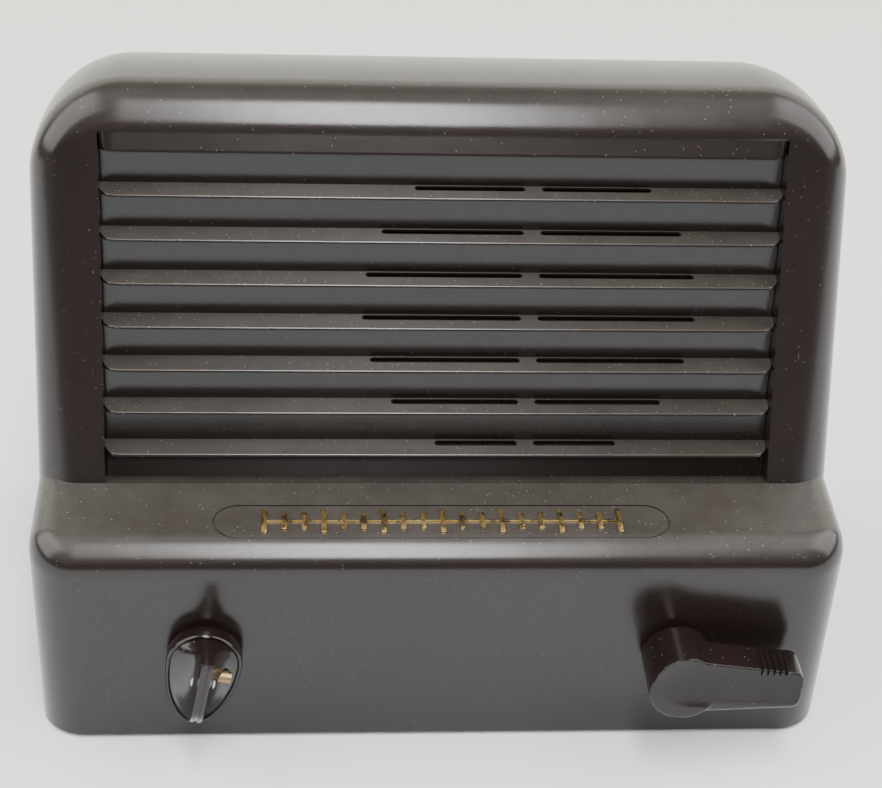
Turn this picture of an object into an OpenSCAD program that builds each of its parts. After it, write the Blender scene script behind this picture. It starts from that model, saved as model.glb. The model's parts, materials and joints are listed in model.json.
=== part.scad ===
// Desk intercom station: a moulded cabinet with a louvred, leaning face above a ledge, a volume
// knob at the left and a sprung talk lever at the right. X runs to the right, Y to the back, Z up.
// The front panel is first drawn at y = 0 and the whole is then moved to the middle of its depth.

/* [Cabinet] */
// Width over the sides
cabinet_w = 216; // [200:1:250]
// Depth from the front panel to the back edge
cabinet_d = 119; // [116:1:140]
// Gap between the table and the cabinet's bottom edge
edge_gap = 1; // [0.5:0.5:3]
// Wall of the moulding
wall = 3.2; // [2.4:0.1:4]
// Set-back of the panel's bottom edge
panel_draft = 1.5; // [0:0.1:3]
// Plan radius of the front corners
corner_r = 12; // [8:0.5:16]
// Radius along the top's two side edges
top_side_r = 25; // [18:0.5:30]

/* [Ledge] */
// Height of the ledge at its front corner
ledge_front_h = 65.4; // [62:0.1:75]
// Height of the ledge where the face starts
ledge_back_h = 67.3; // [64:0.1:78]
// Depth of the ledge
ledge_d = 27.9; // [24:0.1:34]
// Radius of the bend between panel and ledge
ledge_bend_r = 9; // [5:0.5:12]
// Radius of the ledge's side edges
ledge_side_r = 7; // [4:0.5:10]

/* [Face and top] */
// Lean of the face from upright, in degrees
face_lean = 19; // [14:0.5:24]
// Length of the flat face from the ledge to the top bend
face_len = 94; // [94:0.5:110]
// Radius of the bend between face and top
top_bend_r = 13; // [10:0.5:16]
// Crown radius of the top
crown_r = 110; // [90:1:200]
// Slope where the crown starts, in degrees below level towards the back
crown_start = 5; // [0:1:10]

/* [Louvres] */
// Number of louvre strips
louvre_count = 8; // [4:1:8]
// Spacing of the strips along the face
louvre_pitch = 11.55; // [11:0.05:12]
// Distance of the lowest strip's edge above the ledge
louvre_first = 8.1; // [6:0.1:10]
// Half of the recess's width
recess_half = 89.3; // [80:0.1:92]
// Level depth of a strip
strip_d = 7; // [5:0.1:7.5]
// Height of the strip's flat front lip
lip_h = 0.9; // [0.4:0.1:1.5]
// Radius of the strips' ends
strip_end_r = 4; // [2:0.5:6]
// Thickness behind the deepest point of the louvres
louvre_back = 2.6; // [2:0.1:4]
// Width of the sound slots behind a strip, front to back
slot_w = 2.7; // [1.5:0.1:3.5]
// Height of the sound slots
slot_h = 2.2; // [1.5:0.1:3]
// Width of the rib that splits each slot
slot_rib_w = 4.4; // [3:0.1:6]

/* [Ledge ornament] */
// Length of the engraved oblong
oblong_l = 120.6; // [90:0.1:150]
// Height of the engraved oblong
oblong_w = 13; // [10:0.5:15]
// Distance of the oblong's middle from the panel
oblong_y = 12.5; // [12:0.1:18]
// Width of the engraved line
groove_w = 0.8; // [0.5:0.1:1.2]
// Depth of the engraved line
groove_d = 0.4; // [0.2:0.1:0.8]
// Number of upright bars in the gilt ornament
bar_count = 19; // [7:2:25]
// Spacing of the bars
bar_pitch = 5.2; // [4:0.1:5.4]
// Height of the tall bars
bar_l = 9; // [6:0.5:9]
// Width of a bar
bar_w = 1.3; // [0.8:0.1:2]
// Height of the ornament above the ledge
bar_h = 0.5; // [0.3:0.1:0.8]

/* [Speaker] */
// Place of the speaker to the right of the middle
spk_x = 23.3; // [10:0.1:26]
// Place of the speaker along the face above the ledge
spk_s = 47.7; // [46:0.1:50]
// Radius of the speaker's opening
spk_open_r = 44.7; // [40:0.1:45]
// Radius of the speaker's flange
spk_r = 50.8; // [50:0.1:51]
// Height of the moulded ring that carries the speaker
spk_ring_h = 3; // [2:0.1:4]
// Thickness of the gasket
gasket_t = 1; // [0.5:0.1:2]
// Thickness of the basket's sheet
basket_t = 1; // [0.8:0.1:1.5]
// Depth of the basket behind its flange
basket_d = 19.5; // [16:0.5:22]
// Radius of the basket's rear plate
basket_rear_r = 23; // [20:0.5:25]
// Radius where the cone meets its surround
cone_r = 37; // [34:0.5:39]
// Outer radius of the voice coil
coil_r = 10.2; // [8:0.1:11]
// Wall of the voice coil
coil_t = 0.7; // [0.5:0.1:1]
// Clearance on each side of the voice coil in its gap
coil_gap = 0.5; // [0.4:0.1:1]
// Travel of the cone each way
cone_travel = 0.8; // [0.3:0.1:1]
// Radius of the magnet pot
pot_r = 22.5; // [20:0.5:24]
// Length of the magnet pot
pot_l = 24; // [18:0.5:26]
// Speaker screw's shank radius
spk_screw_r = 1.3; // [1:0.05:1.5]

/* [Controls] */
// Height of both shafts above the table
shaft_h = 32.2; // [28:0.1:38]
// Distance of the volume shaft from the cabinet's left side
volume_side = 45.5; // [40:0.1:58]
// Distance of the talk lever's shaft from the cabinet's right side
talk_side = 44.5; // [42:0.1:58]
// Shaft radius, a quarter-inch shaft
shaft_r = 3.175; // [3:0.005:3.2]
// Threaded bushing's radius
bushing_r = 4.75; // [4.5:0.05:5]
// Radial clearance of a running shaft
run_fit = 0.05; // [0.02:0.01:0.1]
// Radial clearance of the shafts in the panel's holes
panel_hole_gap = 1; // [0.5:0.1:2]
// Gap between a knob's back and the panel
knob_gap = 0.9; // [0.6:0.1:1.5]

/* [Volume knob] */
// Radius of the knob's round end
vk_r = 10; // [9:0.1:11]
// Reach of the pointer from the shaft
vk_reach = 21.5; // [18:0.1:24]
// Thickness of the knob's base
vk_base_t = 4.4; // [3:0.1:6]
// Height of the grip over the panel
vk_h = 16; // [14:0.1:18]
// Width of the grip at its front
vk_grip_w = 3; // [2:0.1:5]
// Height of the set screw's axis over the knob's back
vk_screw_h = 7.6; // [5:0.1:8.5]
// Turn of the pointer from straight down at rest, in degrees
vk_tilt = 10; // [0:1:20]

/* [Talk lever] */
// Radius of the lever's hub
tk_hub_r = 9.3; // [8:0.1:11]
// Height of the hub over the panel
tk_h = 16.8; // [15:0.1:18]
// Reach of the lever's tip from the shaft
tk_reach = 32; // [26:0.5:36]
// Width of the lever at its tip
tk_tip_w = 11; // [8:0.1:14]
// Depth of the thumb hollow at the lever's upper edge
thumb_d = 2.6; // [1:0.1:4]
// Droop of the lever's arm from level at rest, in degrees
tk_droop = 3; // [0:1:10]
// Number of grip ribs
tk_ribs = 5; // [3:1:7]

/* [Chassis] */
// Room between the chassis's side and the cabinet's widest point
chassis_side = 18; // [18:0.5:22]
// Gap between the panel plane and the chassis's front
chassis_y = 10; // [9:0.5:12]
// Height of the upper cover bosses' axis under the cabinet's crown
boss_drop = 38.9; // [37:0.1:45]
// Room between the chassis's rear face and the cabinet's rear edge
chassis_rear = 13; // [13:0.5:15]
// Drop of the chassis's top under the ledge's rear edge
chassis_under = 11.1; // [10.3:0.1:13]
// Thickness of the steel sheet
sheet = 1.2; // [0.8:0.1:1.6]

/* [Valves and parts] */
// Spacing of the valves
valve_pitch = 31; // [28:1:31]
// Radius of a valve's bulb
valve_r = 9.5; // [8:0.5:10.5]
// Height of a valve's bulb
valve_l = 50; // [40:1:55]
// Row of the valves from the panel
valve_y = 86; // [84:0.5:90]
// Filter capacitor's radius
can_r = 12.7; // [11:0.1:13]
// Filter capacitor's height
can_l = 60; // [45:1:62]

/* [Base and back] */
// Height of the rubber feet
foot_h = 4; // [3:0.5:5]
// Radius of the rubber feet
foot_r = 7.5; // [6:0.1:7.5]
// Thickness of the base plate
base_t = 1.6; // [1.2:0.1:2]
// Thickness of the back cover
cover_t = 3; // [2:0.5:3]
// Distance of the cover's rear face inside the back edge
cover_in = 2; // [1.8:0.1:4]
// Radius of the screws that hold base and back
screw_r = 1.6; // [1.4:0.05:2]
// Clearance of a screw in a plain hole
screw_gap = 0.3; // [0.2:0.05:0.5]
// Radius of the vent holes in the back cover
vent_r = 3; // [2:0.1:3.5]
// Spacing of the vent holes
vent_pitch = 12; // [10:0.5:14]
// Radius of the cord's hole in the grommet
cord_r = 3; // [2.5:0.1:3.5]
// Clearance around the cover and the base plate
fit_gap = 0.4; // [0.3:0.05:0.8]

/* [Hidden] */
$fn = 48;
half_w = cabinet_w / 2;
tiny = 0.02;
sin_l = sin(face_lean);
cos_l = cos(face_lean);
up_s = [sin_l, cos_l];
in_d = [cos_l, -sin_l];
ledge_slope = (ledge_back_h - ledge_front_h) / ledge_d;
panel_slope = panel_draft / (ledge_front_h - edge_gap);
ledge_corner = [ledge_d, ledge_back_h];
// The crown's centre, from the bend's centre on the flat middle part
bend_c = ledge_corner + face_len * up_s + top_bend_r * in_d;
crown_c = bend_c - (crown_r - top_bend_r) * [-cos(90 + crown_start), sin(90 + crown_start)];
cabinet_h = crown_c[1] + crown_r;

// Louvres
strip_drop = strip_d * cos_l;
strip_rise = strip_d * sin_l;
top_strip = louvre_first + (louvre_count - 1) * louvre_pitch;
louvre_in = strip_drop + louvre_back;

// Speaker depths, measured inwards from the face
ring_d = louvre_in + spk_ring_h;
flange_d = ring_d + gasket_t;
basket_rear = flange_d + basket_t + basket_d;
yoke_d = basket_rear + basket_t;
plate_t = 4;
pot_end = yoke_d + pot_l;
flange_hole_r = spk_r - 2.8;
surround_r = spk_r - 4.8;
surround_t = 0.5;
spider_t = 0.6;
spider_d = basket_rear - spider_t;
neck_d = spider_d - 2.4;
cone_t = 0.6;

// Chassis and the terminals on its rear face
chassis_half = half_w - chassis_side;
chassis_back = cabinet_d - chassis_rear;
chassis_top = ledge_back_h - chassis_under;
terminal_pitch = 12;
terminal_count = 5;
terminal_h = 14;
terminal_t = 4;
terminal_x = [for (i = [0 : terminal_count - 1]) (i - (terminal_count - 1) / 2) * terminal_pitch];

// Controls, measured inwards from the panel plane
volume_x = volume_side - half_w;
talk_x = half_w - talk_side;
nut_t = 2.4;
washer_t = 0.6;
bushing_out = nut_t + washer_t + 1.6;
flange_in = chassis_y + sheet;
volume_can_r = 12;
volume_can_l = 12;
talk_half = 15;
talk_l = 23;
plate = 1.4;
journal_r = 2;
cam_y = flange_in + plate + 7;
cam_l = 6;
cam_r = 7;
leaf_t = 0.4;
leaf_gap = 1.6;
leaf_w = 5;

// Base and back
post_r = 5;
post_x = half_w - wall - foot_r - 0.8;
post_front = panel_draft + wall + foot_r + 1.3;
post_back = cabinet_d - 17;
base_z = foot_h;
tab_z = base_z + base_t;
post_z = tab_z + sheet;
cover_back = cabinet_d - cover_in;
cover_front = cover_back - cover_t;
boss_len = 14;
boss_low = 24;
boss_high = cabinet_h - boss_drop;
boss_x = half_w - wall - post_r + 0.6;
head_r = 3.2;
head_t = 1.6;
thread_l = 10;
thread_gap = 0.02;
window_w = 64;
window_h = 18;
strip_z = 30;
grommet_x = 62;
grommet_z = 30;
grommet_t = 1.4;

// Half of the depth from the lever's front to the back edge
shift_y = (tk_h - cabinet_d) / 2;

// ---- Helpers -----------------------------------------------------------------------------
function unit(v) = v / norm(v);
function turned(v, a) = [v[0] * cos(a) - v[1] * sin(a), v[0] * sin(a) + v[1] * cos(a)];

// How far a round edge of radius r has drawn in at x, on a body that reaches to half
function inset(x, half, r) =
    let (over = abs(x) - (half - r))
    over <= 0 ? 0 : r - sqrt(max(0, r * r - over * over));

// Points of a fillet of radius r at b, between the lines from a and to c
function fillet(a, b, c, r, n) =
    let (
        u = unit(a - b),
        v = unit(c - b),
        half = acos(u * v) / 2,
        centre = b + unit(u + v) * r / sin(half),
        start = b + u * r / tan(half) - centre,
        side = cross(start, b + v * r / tan(half) - centre) >= 0 ? 1 : -1
    )
    [for (i = [0 : n]) centre + turned(start, side * (180 - 2 * half) * i / n)];

// Side outline [y, z] of the cabinet, drawn in by a at panel and face, b at the top, c at the ledge
bend_n = 4;
top_n = 5;
crown_n = 6;
function outline(a, b, c, z_low, y_back) =
    let (
        fy = (a + panel_slope * c) / (1 + panel_slope * ledge_slope),
        front = [fy, ledge_front_h - c + ledge_slope * fy],
        low = [a + panel_slope * (ledge_front_h - z_low), z_low],
        ky = (ledge_d + a / cos_l + (ledge_front_h - c - ledge_back_h) * tan(face_lean))
            / (1 - ledge_slope * tan(face_lean)),
        notch = [ky, ledge_front_h - c + ledge_slope * ky],
        r1 = max(top_bend_r - a, 1.5),
        rho = crown_r - b - r1,
        off = ledge_corner + (a + r1) * in_d - crown_c,
        t = -(off * up_s) + sqrt(pow(off * up_s, 2) - off * off + rho * rho),
        bc = ledge_corner + (a + r1) * in_d + t * up_s,
        turn = atan2(bc[1] - crown_c[1], crown_c[0] - bc[0]),
        last = acos(-(y_back - crown_c[0]) / (crown_r - b))
    )
    concat(
        [low],
        fillet(low, front, notch, max(ledge_bend_r - min(a, c), 1.5), bend_n),
        [notch],
        [for (i = [0 : top_n])
            let (p = face_lean + (turn - face_lean) * i / top_n)
            bc + r1 * [-cos(p), sin(p)]],
        [for (i = [1 : crown_n])
            let (p = turn + (last - turn) * i / crown_n)
            crown_c + (crown_r - b) * [-cos(p), sin(p)]],
        [[y_back, z_low]]
    );

// Solid between outlines that are drawn in towards both sides; in is the offset of a cavity
function cuts_x(half, r) =
    let (steps = [0, 22, 44, 62, 76, 90])
    concat([for (i = [5 : -1 : 0]) -(half - r + r * sin(steps[i]))],
        [for (i = [0 : 5]) half - r + r * sin(steps[i])]);

module body(in, z_low, y_back) {
    half = half_w - in;
    xs = cuts_x(half, top_side_r - in);
    loops = [for (x = xs) outline(in + inset(x, half, corner_r - in),
        in + inset(x, half, top_side_r - in), in + inset(x, half, ledge_side_r - in), z_low, y_back)];
    n = len(loops[0]);
    points = [for (i = [0 : len(xs) - 1]) for (p = loops[i]) [xs[i], p[0], p[1]]];
    sides = [for (i = [0 : len(xs) - 2]) for (j = [0 : n - 1])
        let (k = (j + 1) % n)
        each [[i * n + j, i * n + k, (i + 1) * n + k], [i * n + j, (i + 1) * n + k, (i + 1) * n + j]]];
    // Each end is a fan from the outline's low rear corner, which sees all of its other points
    far = (len(xs) - 1) * n;
    ends = [for (j = [0 : n - 3]) each [[n - 1, j + 1, j], [far + n - 1, far + j, far + j + 1]]];
    polyhedron(points, concat(sides, ends), convexity = 8);
}

// Outline that lies in the side plane, [depth, height], drawn out to both sides by half
module across(half) {
    rotate([90, 0, 90]) translate([0, 0, -half]) linear_extrude(2 * half) children();
}

// Points given as [up the face, into the face], placed in the side plane
function on_face(p) = ledge_corner + p[0] * up_s + p[1] * in_d;

// Frame on the speaker's axis: z runs into the cabinet from the face
module at_speaker() {
    spot = on_face([spk_s, 0]);
    translate([spk_x, spot[0], spot[1]]) rotate([-90 - face_lean, 0, 0]) children();
}

// Frame on a control's shaft: z runs out to the viewer, y up, z = 0 on the panel plane
module at_shaft(x) { translate([x, 0, shaft_h]) rotate([90, 0, 0]) children(); }

module tube(r_out, r_in, from, to) {
    translate([0, 0, from]) difference() {
        cylinder(r = r_out, h = to - from);
        translate([0, 0, -1]) cylinder(r = r_in, h = to - from + 2);
    }
}

module oblong(l, w) {
    square([l - w, w], center = true);
    for (side = [-1, 1]) translate([side * (l - w) / 2, 0]) circle(d = w);
}

// Frame on the ledge's surface at the ornament: z is square to the ledge
module on_ledge() {
    translate([0, oblong_y, ledge_front_h + ledge_slope * oblong_y])
        rotate([atan(ledge_slope), 0, 0]) children();
}

// ---- Cabinet -----------------------------------------------------------------------------
strip_s = [for (i = [0 : louvre_count - 1]) louvre_first + i * louvre_pitch];

module recess_shape() {
    low_d = strip_drop * (louvre_first - lip_h) / (louvre_pitch - lip_h - strip_rise);
    saw = [for (s = strip_s) each [
        s == louvre_first ? [0, low_d] : [s - louvre_pitch + strip_rise, strip_drop],
        [s - lip_h, 0], [s, 0]]];
    // The face runs on above the top slat's edge
    pts = concat([[0, -3], [0, 0]], saw, [[top_strip, -3]]);
    polygon([for (p = pts) on_face(p)]);
}

// Keeps the strips' ends round, seen square to the face
module strip_end(side) {
    spot = on_face([0, 0]);
    translate([side * recess_half, spot[0], spot[1]]) rotate([-face_lean, 0, 0])
        linear_extrude(top_strip) difference() {
            translate([side > 0 ? -strip_end_r : 0, -1]) square([strip_end_r, strip_end_r + 1]);
            translate([-side * strip_end_r, strip_end_r]) circle(strip_end_r);
        }
}

module sound_slots() {
    for (s = [for (i = [0 : louvre_count - 2]) strip_s[i]]) {
        reach = s + strip_rise - spk_s;
        long = sqrt(max(0, spk_open_r * spk_open_r - reach * reach));
        spot = on_face([s, 0]);
        for (side = [-1, 1])
            translate([side > 0 ? spk_x + slot_rib_w / 2 : spk_x - long,
                spot[0] + strip_d - slot_w, spot[1] - slot_h])
                cube([long - slot_rib_w / 2, slot_w + louvre_in, slot_h + tiny]);
    }
}

module post(x, y, top) {
    side = sign(x);
    translate([x, y, post_z]) cylinder(r = post_r, h = top - post_z);
    translate([side > 0 ? x : -half_w + wall / 2, y - post_r, post_z])
        cube([half_w - wall / 2 - abs(x), 2 * post_r, top - post_z]);
}

module cabinet() {
    color([0.17, 0.13, 0.11]) difference() {
        union() {
            difference() {
                body(0, edge_gap, cabinet_d);
                body(wall, edge_gap - 2, cabinet_d + 2);
            }
            across(recess_half + wall) polygon([for (p = [[-1, 2], [face_len + 1, 2],
                [face_len + 5, 4.5], [face_len + 5, louvre_in], [-1, louvre_in]]) on_face(p)]);
            at_speaker() tube(spk_r + 0.6, spk_open_r, louvre_in - 1, ring_d);
            for (side = [-1, 1]) {
                post(side * post_x, post_front, ledge_front_h - wall - ledge_side_r / 2);
                post(side * post_x, post_back, boss_low + post_r);
                for (z = [boss_low, boss_high])
                    translate([side * boss_x, cover_front, z]) rotate([90, 0, 0])
                        cylinder(r = post_r, h = boss_len);
            }
        }
        across(recess_half) recess_shape();
        for (side = [-1, 1]) strip_end(side);
        sound_slots();
        on_ledge() translate([0, 0, -groove_d]) linear_extrude(groove_d + 2) difference() {
            oblong(oblong_l, oblong_w);
            oblong(oblong_l - 2 * groove_w, oblong_w - 2 * groove_w);
        }
        for (x = [volume_x, talk_x]) at_shaft(x)
            translate([0, 0, -chassis_y]) cylinder(r = shaft_r + panel_hole_gap, h = chassis_y + 2);
        at_speaker() for (a = [45 : 90 : 315]) rotate(a) translate([flange_hole_r, 0, ring_d - 4.6])
            cylinder(r = spk_screw_r + thread_gap, h = 6);
        for (side = [-1, 1]) {
            for (y = [post_front, post_back]) translate([side * post_x, y, post_z - 1])
                cylinder(r = screw_r + thread_gap, h = thread_l + 2);
            for (z = [boss_low, boss_high]) translate([side * boss_x, cover_front + 1, z])
                rotate([90, 0, 0]) cylinder(r = screw_r + thread_gap, h = thread_l + 2);
        }
    }
}

// Gilt bars on one thin rail, in the place of a name
module ledge_ornament() {
    color([0.72, 0.52, 0.22]) on_ledge() linear_extrude(bar_h) {
        square([(bar_count - 1) * bar_pitch + bar_w, bar_w / 2], center = true);
        for (i = [0 : bar_count - 1]) translate([(i - (bar_count - 1) / 2) * bar_pitch, 0])
            square([bar_w, bar_l * (1 - 0.28 * (i % 3 == 0 ? 0 : 1))], center = true);
    }
}

// ---- Speaker -----------------------------------------------------------------------------
module speaker_gasket() {
    color([0.35, 0.30, 0.24]) at_speaker() difference() {
        tube(spk_r, surround_r + 0.3, ring_d, flange_d);
        for (a = [45 : 90 : 315]) rotate(a) translate([flange_hole_r, 0, ring_d - 1])
            cylinder(r = spk_screw_r + screw_gap, h = gasket_t + 2);
    }
}

module speaker_frame() {
    mouth_r = cone_r + 6;
    color([0.75, 0.74, 0.70]) at_speaker() difference() {
        rotate_extrude() polygon([
            [mouth_r, flange_d], [spk_r, flange_d], [spk_r, flange_d + basket_t],
            [mouth_r + basket_t, flange_d + basket_t], [mouth_r + basket_t - 2, flange_d + 6],
            [basket_rear_r, basket_rear + basket_t], [coil_r + 2.6, basket_rear + basket_t],
            [coil_r + 2.6, basket_rear], [basket_rear_r - 1, basket_rear],
            [mouth_r - 2, flange_d + 6 - basket_t]]);
        for (a = [0 : 90 : 270]) rotate(a) translate([basket_rear_r + 3, -9, flange_d + 7])
            cube([mouth_r, 18, basket_d - 8]);
        for (a = [45 : 90 : 315]) rotate(a) translate([flange_hole_r, 0, flange_d - 1])
            cylinder(r = spk_screw_r + screw_gap, h = basket_t + 2);
    }
}

// Ribbed paper ring between basket and cone
module speaker_surround() {
    inner = cone_r + 0.4;
    span = surround_r - inner - 3;
    top = [for (i = [0 : 12]) [inner + span * i / 12,
        flange_d - surround_t - 0.5 * (1 - cos(i * 90)) * 0.7]];
    low = [for (i = [12 : -1 : 0]) top[i] + [0, surround_t]];
    color([0.20, 0.17, 0.15]) at_speaker() rotate_extrude()
        polygon(concat(top, [[surround_r, flange_d - surround_t], [surround_r, flange_d]], low));
}

module speaker_cone() {
    // The cone's curve runs from the surround in to the neck
    curve = [for (i = [0 : 8]) let (t = i / 8)
        [cone_r - (cone_r - coil_r) * t, flange_d - 0.3 + (neck_d - flange_d + 0.3) * sin(90 * pow(t, 0.8))]];
    under = [for (i = [8 : -1 : 0]) curve[i] + [0, -cone_t]];
    color([0.62, 0.58, 0.50]) at_speaker() rotate_extrude() polygon(concat(curve, under));
}

module dust_cap() {
    r = coil_r + 4;
    color([0.55, 0.50, 0.43]) at_speaker() translate([0, 0, neck_d - cone_t - 0.55]) rotate_extrude()
        polygon([[0, -2.4], [r * 0.55, -1.7], [r * 0.9, 0], [r * 0.9 - 0.9, 0.4], [r * 0.5, -1], [0, -1.7]]);
}

module voice_coil() {
    color([0.70, 0.38, 0.20]) at_speaker()
        tube(coil_r, coil_r - coil_t, neck_d - cone_t, yoke_d + plate_t + cone_travel + 0.7);
}

module spider() {
    inner = coil_r + 0.4;
    color([0.60, 0.50, 0.32]) at_speaker() tube(basket_rear_r - 4, inner, spider_d, basket_rear);
}

module magnet_pot() {
    color([0.45, 0.46, 0.47]) at_speaker() rotate_extrude() polygon([
        [coil_r + coil_gap, yoke_d], [pot_r, yoke_d], [pot_r, pot_end], [0, pot_end],
        [0, pot_end - plate_t], [pot_r - 3, pot_end - plate_t], [pot_r - 3, yoke_d + plate_t],
        [coil_r + coil_gap, yoke_d + plate_t]]);
}

module magnet_slug() {
    color([0.58, 0.58, 0.58]) at_speaker() translate([0, 0, yoke_d])
        cylinder(r = coil_r - coil_t - coil_gap, h = pot_end - plate_t - yoke_d);
}

module speaker_screws() {
    back = flange_d + basket_t;
    color([0.62, 0.62, 0.60]) at_speaker() for (a = [45 : 90 : 315]) rotate(a)
        translate([flange_hole_r, 0, 0]) {
            translate([0, 0, ring_d - 4.4]) cylinder(r = spk_screw_r, h = back - ring_d + 4.4);
            translate([0, 0, back]) cylinder(r = 2.5, h = 1.8);
        }
}

// ---- Chassis and what it carries ---------------------------------------------------------
valve_x = [for (i = [0 : 2]) -chassis_half + valve_r + 4 + i * valve_pitch];
socket_r = valve_r + 0.8;
socket_in = 6;
socket_out = 2;
socket_rim = 1.6;
socket_rim_t = 1.2;
// The capacitor stands in the rear right corner, the transformer before it
can_in = 3;
can_x = chassis_half - can_r - can_in;
can_y = chassis_back - can_r - can_in;
core_size = [22, 26, 24];
core_gap = 2.1;
core_x = chassis_half - core_size[0] / 2 - 4;
core_y = can_y - can_r - core_gap - core_size[1] / 2;

module chassis() {
    depth = chassis_back - chassis_y;
    color([0.66, 0.67, 0.66]) difference() {
        union() {
            translate([-chassis_half, chassis_y, tab_z]) difference() {
                cube([2 * chassis_half, depth, chassis_top - tab_z]);
                translate([sheet, sheet, -1]) cube([2 * (chassis_half - sheet), depth - 2 * sheet,
                    chassis_top - tab_z - sheet + 1]);
            }
            for (side = [-1, 1]) for (y = [post_front, post_back]) {
                wide = post_x + 5 - chassis_half;
                low = max(y - 6, chassis_y);
                translate([side > 0 ? chassis_half - sheet : -chassis_half - wide, low, tab_z])
                    cube([wide + sheet, min(y + 6, chassis_back) - low, sheet]);
            }
        }
        for (side = [-1, 1]) for (y = [post_front, post_back])
            translate([side * post_x, y, tab_z - 1]) cylinder(r = screw_r + screw_gap, h = sheet + 2);
        for (x = [volume_x, talk_x]) at_shaft(x) translate([0, 0, -flange_in - 1])
            cylinder(r = bushing_r + 0.1, h = sheet + 2);
        for (x = valve_x) translate([x, valve_y, chassis_top - sheet - 1])
            cylinder(r = socket_r + 0.1, h = sheet + 2);
        translate([can_x, can_y, chassis_top - sheet - 1]) cylinder(r = can_r - 4.9, h = sheet + 2);
        for (x = terminal_x) translate([x, chassis_back - sheet - 1, strip_z])
            rotate([-90, 0, 0]) cylinder(r = 3, h = sheet + 2);
    }
}

module valve_socket(i) {
    color([0.23, 0.16, 0.12]) translate([valve_x[i], valve_y, chassis_top]) difference() {
        union() {
            translate([0, 0, -socket_in]) cylinder(r = socket_r, h = socket_in + socket_out);
            cylinder(r = socket_r + socket_rim, h = socket_rim_t);
        }
        for (a = [0 : 45 : 270]) rotate(a) translate([valve_r * 0.5, 0, -socket_in - 1])
            cylinder(r = 0.8, h = socket_in + socket_out + 2);
    }
}

module valve(i) {
    low = chassis_top + socket_out;
    color([0.75, 0.80, 0.82, 0.6]) translate([valve_x[i], valve_y, low]) rotate_extrude() polygon([
        [0, 0], [valve_r - 1, 0], [valve_r, 1.5], [valve_r, valve_l - 9], [valve_r - 2, valve_l - 4.5],
        [valve_r - 5, valve_l - 2.5], [1.6, valve_l - 1.5], [0.8, valve_l], [0, valve_l]]);
}

module filter_capacitor() {
    color([0.72, 0.73, 0.74]) translate([can_x, can_y, chassis_top]) rotate_extrude() polygon([
        [0, -5], [can_r - 5, -5], [can_r - 5, 0], [can_r, 0], [can_r, can_l - 1], [can_r - 1, can_l],
        [can_r - 3, can_l], [can_r - 4, can_l - 1], [0, can_l - 1]]);
}

module transformer_core() {
    color([0.38, 0.36, 0.35]) translate([core_x, core_y, chassis_top + core_size[2] / 2]) difference() {
        cube(core_size, center = true);
        for (side = [-1, 1]) translate([0, side * core_size[1] / 3.6, 0])
            cube([core_size[0] + 2, core_size[1] / 5, core_size[2] * 0.6], center = true);
    }
}

module transformer_coil() {
    leg = core_size[1] * (2 / 3.6 - 1 / 5);
    outer = core_size[1] * (2 / 3.6 + 1 / 5);
    tall = core_size[2] * 0.6 - 0.2;
    color([0.50, 0.42, 0.26]) translate([core_x, core_y, chassis_top + core_size[2] / 2]) difference() {
        cube([core_size[0] + 6, outer - 0.2, tall], center = true);
        cube([core_size[0], leg + 0.1, tall + 2], center = true);
    }
}

// ---- Volume control ----------------------------------------------------------------------
module bushing_hole(l) { translate([0, 0, -l]) cylinder(r = shaft_r + run_fit, h = l + 2); }

module volume_control() {
    color([0.60, 0.61, 0.60]) at_shaft(volume_x) difference() {
        union() {
            translate([0, 0, -flange_in]) cylinder(r = bushing_r, h = sheet + bushing_out);
            translate([0, 0, -flange_in - volume_can_l]) cylinder(r = volume_can_r, h = volume_can_l);
            translate([-6, -volume_can_r - 6, -flange_in - 5]) cube([12, 8, 3]);
        }
        bushing_hole(flange_in + 7);
    }
}

module washer(x) {
    color([0.68, 0.68, 0.66]) at_shaft(x)
        tube(bushing_r + 3.4, bushing_r + 0.1, -chassis_y, -chassis_y + washer_t);
}

module hex_nut(x) {
    low = -chassis_y + washer_t;
    color([0.70, 0.66, 0.50]) at_shaft(x) difference() {
        translate([0, 0, low]) cylinder(r = bushing_r + 2.6, h = nut_t, $fn = 6);
        translate([0, 0, low - 1]) cylinder(r = bushing_r + thread_gap, h = nut_t + 2);
    }
}

module volume_shaft() {
    color([0.72, 0.72, 0.70]) at_shaft(volume_x) translate([0, 0, -flange_in - 6.5])
        cylinder(r = shaft_r, h = flange_in + 6.5 + vk_h - 4);
}

// Pointer outline: a round end at the shaft and a tip that points along -y
module pointer(grow) {
    hull() {
        circle(r = vk_r + grow, $fn = 48);
        translate([0, -vk_r * 0.9]) circle(r = vk_r * 0.72 + grow, $fn = 32);
        translate([0, -vk_reach + 1.6]) circle(r = 1.6 + grow, $fn = 16);
    }
}

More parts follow.
